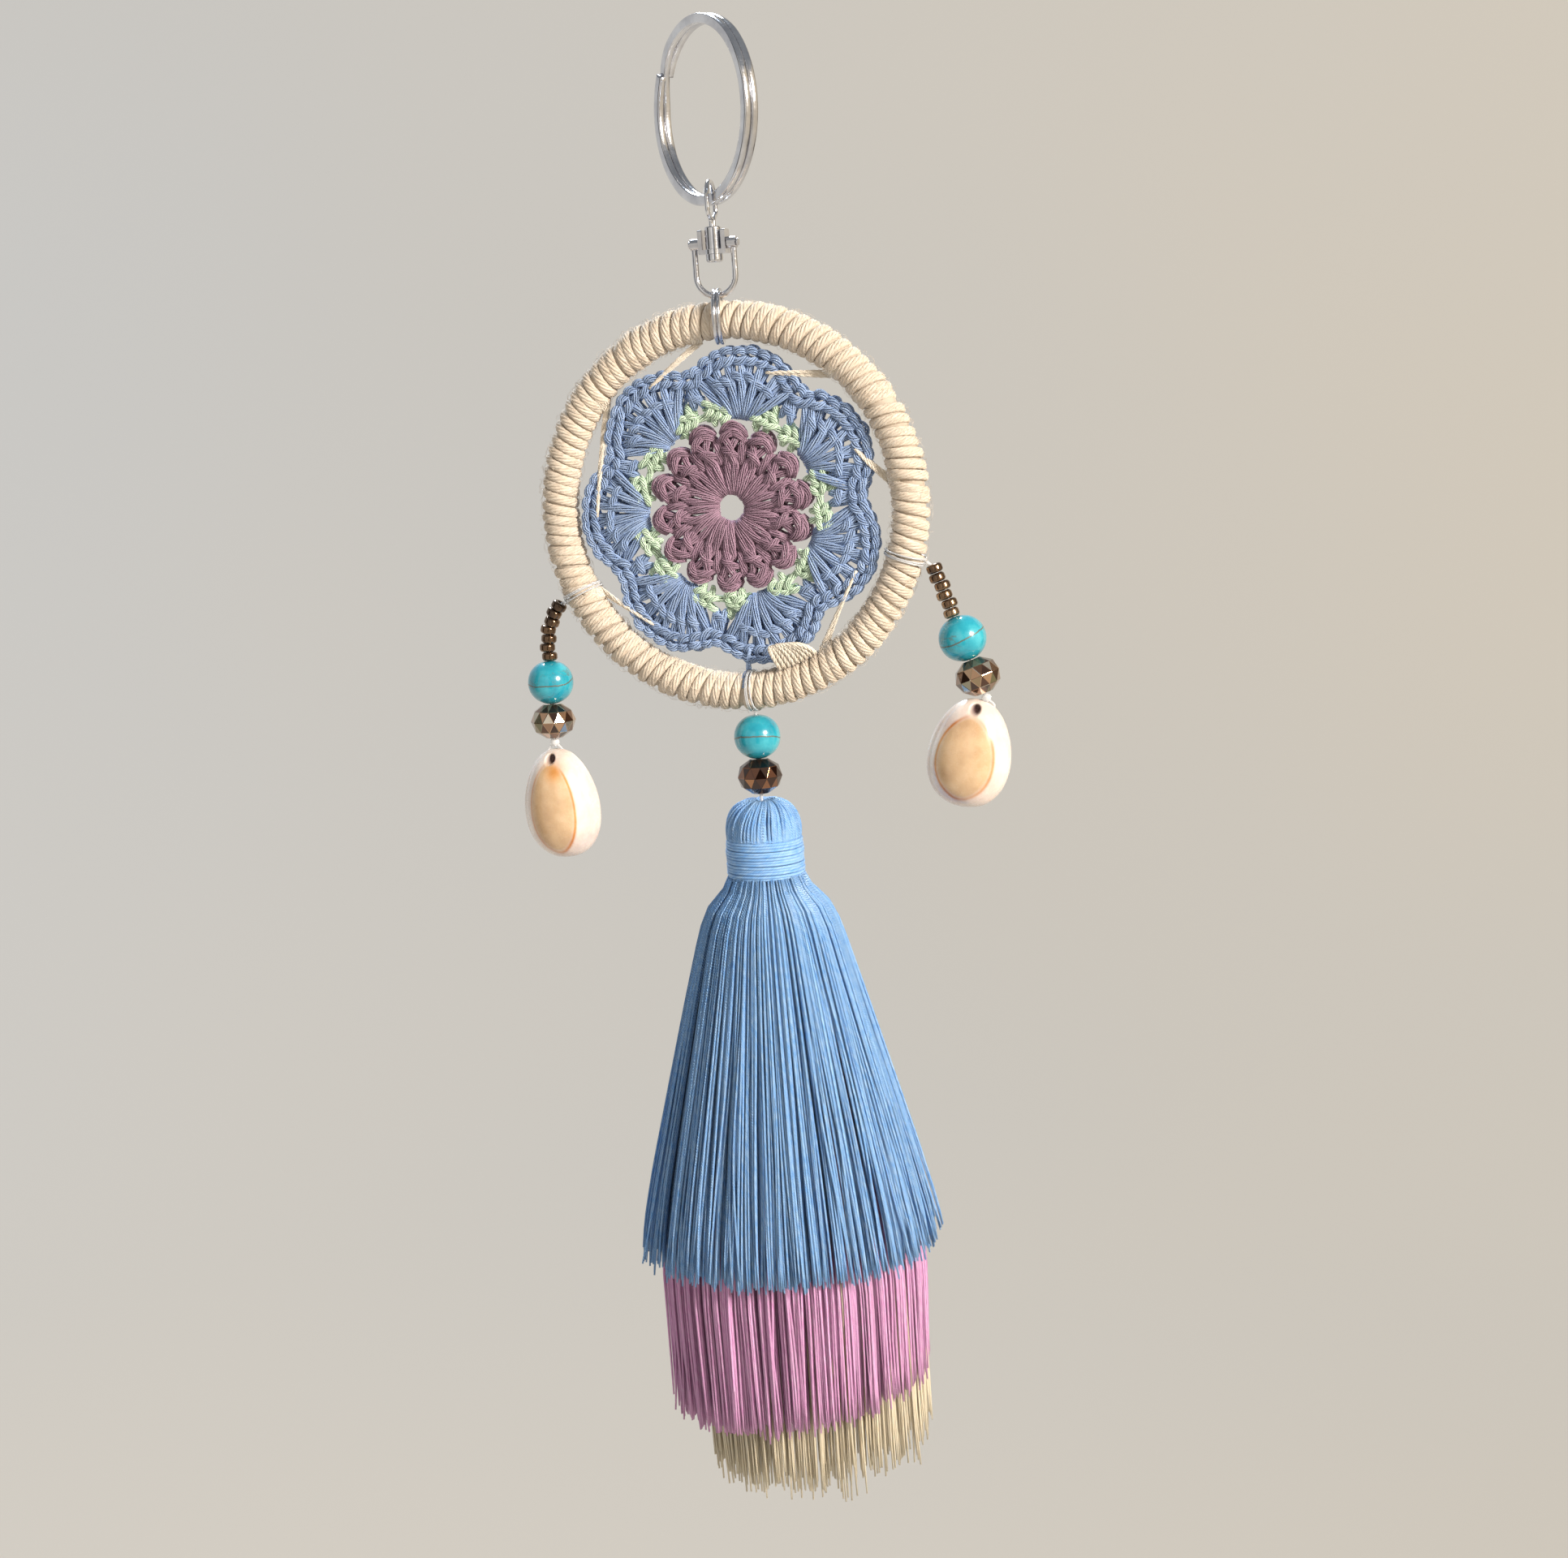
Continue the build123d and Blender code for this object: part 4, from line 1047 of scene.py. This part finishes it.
# ---------- tassel
DROP_X = joint_at("tassel_sway")[0]
NECK_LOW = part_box("tassel_neck_wrap")[0].z / MM
NECK_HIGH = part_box("tassel_neck_wrap")[1].z / MM
NECK_R = 6.2
DOME_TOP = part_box("tassel_head")[1].z / MM
FLARE_R = [5.0, 6.1, 8.8, 11.6, 15.4, 19.0, 22.4, 24.6, 25.7, 25.4, 24.6]
FLARE_Z = [-136.0, -139.3, -141.3, -146.5, -160.5, -174.5, -188.0, -198.0, -206.0, -216.0, -250.0]
flare_fine_z = np.linspace(-136, -250, 400)
flare_fine_r = np.interp(-flare_fine_z, [-z for z in FLARE_Z], FLARE_R)
flare_fine_r[8:-8] = np.convolve(flare_fine_r, np.ones(17) / 17, "valid")


def flare_at(z):
    """Outer radius of the skirt at a height."""
    return np.interp(-z, -flare_fine_z, flare_fine_r)


def skirt(
    name, node, count, reach_low, reach_high, hem_z, hem_scatter, inside, outside,
    material, seed, sway=0.0, rise=0.0,
):
    """Hanging threads, between reach_low and reach_high of the flare's radius.

    They start between the inside and outside radius at the neck. sway pushes the hem out on the
    camera's right, and rise lifts it there.
    """
    rng = np.random.default_rng(seed)
    steps = 22
    theta = (np.arange(count) + rng.uniform(-0.6, 0.6, count)) * TAU / count
    layer = rng.uniform(0, 1, count) ** 0.6
    reach = reach_low + (reach_high - reach_low) * layer
    start = inside + (outside - inside) * layer
    end = hem_z + rng.normal(0, hem_scatter, count) + rise * np.cos(theta - CAM_AZIMUTH)
    start_z = NECK_LOW + 1.5
    t = np.linspace(0, 1, steps)[None, :]
    z = start_z + (end[:, None] - start_z) * t
    full = flare_at(z)
    blend = 1 - (1 - np.clip((start_z - z) / 6.5, 0, 1)) ** 2
    radius = start[:, None] * (1 - blend) + full * reach[:, None] * blend
    low = np.clip(t, 0, 1)
    clump_count = max(12, count // 14)
    clump = np.floor(theta / TAU * clump_count).astype(int) % clump_count
    pull = rng.normal(0, 1, clump_count)[clump]
    lean = rng.normal(0, 0.018, count) + pull * 0.009
    swirl = lean[:, None] * low**1.5
    swirl = swirl + rng.normal(0, 0.01, count)[:, None] * np.sin(low * rng.uniform(4, 9, (count, 1)))
    breath = 1 + rng.normal(0, 0.02, count)[:, None] * low + 0.015 * pull[:, None] * low
    wander = rng.random(count) < 0.02
    breath = breath + wander[:, None] * rng.uniform(-0.02, 0.04, (count, 1)) * low**3
    angle = theta[:, None] + swirl + wander[:, None] * rng.normal(0, 0.1, (count, 1)) * low**2
    curl = rng.normal(0, 0.35, (count, 1)) * np.clip((t - 0.8) / 0.2, 0, 1) ** 2
    tilt = 1 + sway * np.cos(theta - CAM_AZIMUTH)[:, None] * low
    radius = radius * breath * tilt + curl
    points = np.stack([DROP_X + radius * np.cos(angle), radius * np.sin(angle), z], -1)
    part = tubes(points, 0.23, 3, lay=0.55, tone=(0.72, 1.0), seed=seed, taper=0.3)
    return piece(name, [part], material, "tassel", [node])


def add_tassel():
    skirt(
        "blue_threads", "tassel_skirt_blue", 1500, 0.74, 1.0, -203.0, 0.7, 3.4, 6.0,
        BLUE_RAYON, 101,
    )
    skirt(
        "pink_threads", "tassel_skirt_pink", 1400, 0.68, 0.86, -229.0, 0.8, 2.2, 4.4,
        PINK_RAYON, 102, 0.02, 2.0,
    )
    skirt(
        "cream_threads", "tassel_skirt_cream", 900, 0.4, 0.76, -240.5, 1.9, 0.8, 3.2,
        CREAM_RAYON, 103, 0.17, 0.8,
    )
    rng = np.random.default_rng(104)
    add_dome(rng)
    add_neck(rng)
    add_inner_tie()


def add_dome(rng):
    count = 150
    theta = (np.arange(count) + rng.uniform(-0.3, 0.3, count)) * TAU / count
    t = np.linspace(0, 1, 18)[None, :]
    bend = t * np.pi * 0.56
    top = DOME_TOP + 0.1
    dome_r = 0.7 + (6.05 - 0.7) * np.sin(bend) ** 0.9 / np.sin(np.pi * 0.56) ** 0.9
    fall = NECK_HIGH - 1.2
    dimple = 0.9 * np.exp(-((dome_r - 0.7) / 0.8) ** 2)
    dome_z = top - dimple - (top - fall) * (1 - np.cos(bend)) / (1 - np.cos(np.pi * 0.56))
    lift = rng.normal(0, 0.12, (count, 1)) * np.sin(np.pi * t)
    angle = theta[:, None] + 0.35 * (1 - t) ** 2 + rng.normal(0, 0.02, (count, 1)) * t
    radius = dome_r + lift
    height = dome_z + lift + 0 * angle
    points = np.stack([DROP_X + radius * np.cos(angle), radius * np.sin(angle), height], -1)
    dome = tubes(points, 0.24, 6, lay=0.55, tone=(0.7, 1.0), seed=105)
    u = np.linspace(0, TAU, 64, endpoint=False)[None, :]
    core_r = np.array([0.6, 3.0, 5.0, 5.6, 5.7, 5.7, 5.2, 3.0])[:, None]
    core_z = np.array([-127.6, -126.9, -128.4, -130.0, -131.5, -139.0, -140.5, -141.0])[:, None]
    core = grid(np.stack([DROP_X + core_r * np.cos(u), core_r * np.sin(u), core_z + 0 * u], -1))
    # painted shade: the core under the dome threads is darkened where it shows in the gaps between them
    core["tone"] = core["tone"] * 0.45
    piece("tassel_dome", [dome, core], BLUE_RAYON, "tassel", ["tassel_head"])


def add_neck(rng):
    pitch = 0.5
    turns = (NECK_HIGH - NECK_LOW - 0.3) / pitch
    steps = int(turns * 60)
    t = np.linspace(0, 1, steps)
    wave = np.interp(t * turns, np.arange(int(turns) + 3), rng.normal(0, 0.07, int(turns) + 3))
    bulge = 0.18 * np.sin(np.pi * t)
    radius = NECK_R - 0.02 + wave + bulge
    angle = t * turns * TAU
    z = NECK_HIGH - 0.2 - t * (NECK_HIGH - NECK_LOW - 0.4) + 0.05 * np.sin(angle * 0.37)
    line = np.stack([DROP_X + radius * np.cos(angle), radius * np.sin(angle), z], -1)[None]
    neck = tubes(line, 0.27, 8, lay=0.55, tone=(0.95, 1.0), seed=106)
    piece("tassel_neck_turns", [neck], BLUE_RAYON, "tassel", ["tassel_neck_wrap"])


def add_inner_tie():
    tie = box_centre("tassel_inner_tie")
    size = box_size("tassel_inner_tie")
    t = np.linspace(0, 4, 160)
    radius = size[0] / 2 - 0.2
    z = tie[2] + (t / 4 - 0.5) * (size[2] - 0.5)
    line = np.stack([DROP_X + radius * np.cos(t * TAU), radius * np.sin(t * TAU), z], -1)[None]
    turns = tubes(line, 0.25, 6)
    piece("tassel_inner_turns", [turns], BLUE_RAYON, "tassel", ["tassel_inner_tie"])


add_tassel()


# ---------- room and light
def add_room():
    """A pale bowl: a flat floor that curves up into a wall all round, open at the top, glowing with a painted
    sweep of light, cool at -X and warm at +X.
    """
    n = Nodes("backdrop_paper")
    place = n.coordinates("Object")
    across = n.add("ShaderNodeSeparateXYZ")
    n.link(place, across.inputs["Vector"])
    cloud = n.math("MULTIPLY", n.noise(place, 0.8, 2.0), 0.3)
    # painted light: the backdrop's colour and glow run from cool grey at -X to warm at +X, the warm key's
    # side
    painted_light_tint = n.ramp(
        n.math("ADD", n.spread(across.outputs["X"], -2.2, 2.2, 0.0, 0.7), cloud),
        [(0.1, rgb(198, 201, 204)), (0.9, rgb(226, 211, 186))],
    )
    n.link(painted_light_tint, n.shader.inputs["Emission Color"])
    n.link(n.mix(1.0, painted_light_tint, (0.5, 0.5, 0.5, 1.0), "MULTIPLY"), n.shader.inputs["Base Color"])
    n.set(Roughness=0.95, Specular_IOR_Level=0.1, Emission_Strength=0.7)
    floor_z, wall_r, curve, wall_top = -650.0, 2200.0, 900.0, 1500.0
    bend = np.linspace(0, np.pi / 2, 18)
    r = np.concatenate([[1.0, 600.0], wall_r - curve + curve * np.sin(bend), [wall_r]])
    z = np.concatenate([[floor_z, floor_z], floor_z + curve - curve * np.cos(bend), [wall_top]])
    u = np.linspace(0, TAU, 96, endpoint=False)[None, :]
    part = grid(np.stack([r[:, None] * np.cos(u), r[:, None] * np.sin(u), z[:, None] + 0 * u], -1))
    mesh = bpy.data.meshes.new("floor")
    mesh.from_pydata((part["verts"] * MM).tolist(), [], part["faces"][0].tolist())
    mesh.materials.append(n.material)
    mesh.polygons.foreach_set("use_smooth", np.ones(len(mesh.polygons), bool))
    floor = bpy.data.objects.new("floor", mesh)
    bpy.context.scene.collection.objects.link(floor)


def add_flags():
    """Black cards at both sides, which only bright metal and glass reflect."""
    card = bpy.data.materials.new("black_card")
    card.use_nodes = True
    card.node_tree.nodes["Principled BSDF"].inputs["Base Color"].default_value = (0.01, 0.01, 0.01, 1.0)
    for name, x, y in (("flag_left", -0.7, -0.45), ("flag_right", 0.35, -1.0), ("flag_back", 0.75, 0.5)):
        turn = Vector((x, y, 0)).to_track_quat("Z", "Y")
        card_shape = ((-0.16, -0.7), (0.16, -0.7), (0.16, 0.7), (-0.16, 0.7))
        corners = [turn @ Vector((a, b, 0)) + Vector((x, y, -0.1)) for a, b in card_shape]
        mesh = bpy.data.meshes.new(name)
        mesh.from_pydata(corners, [], [(0, 1, 2, 3)])
        mesh.materials.append(card)
        flag = bpy.data.objects.new(name, mesh)
        bpy.context.scene.collection.objects.link(flag)
        flag.visible_camera = False
        flag.visible_diffuse = False
        flag.visible_shadow = False
        flag.visible_transmission = False


def add_light(name, place, aim, size, power, colour, spread=170):
    data = bpy.data.lights.new(name, "AREA")
    data.shape = "DISK"
    data.size = size
    data.energy = power
    data.color = colour
    data.spread = math.radians(spread)
    lamp = bpy.data.objects.new(name, data)
    lamp.location = Vector(place)
    lamp.rotation_mode = "QUATERNION"
    lamp.rotation_quaternion = (Vector(aim) - Vector(place)).to_track_quat("-Z", "Y")
    lamp.visible_camera = False
    bpy.context.scene.collection.objects.link(lamp)


def add_lights():
    world = bpy.data.worlds.new("room")
    bpy.context.scene.world = world
    world.use_nodes = True
    background = world.node_tree.nodes["Background"]
    background.inputs["Color"].default_value = (0.9, 0.95, 1.0, 1.0)
    background.inputs["Strength"].default_value = 0.26
    middle = (0.0, 0.0, -0.12)
    add_light("key", (0.96, -0.48, 0.3), middle, 0.3, 2.5, (1.0, 0.93, 0.85), 60)
    add_light("fill", (0.1, -1.0, 0.1), middle, 0.6, 0.3, (0.9, 0.94, 1.0))
    add_light("rim", (-0.35, 0.6, 0.7), middle, 0.4, 2.0, (0.74, 0.86, 1.0), 60)
    bpy.context.scene.view_settings.view_transform = "Standard"


add_room()
add_flags()
add_lights()
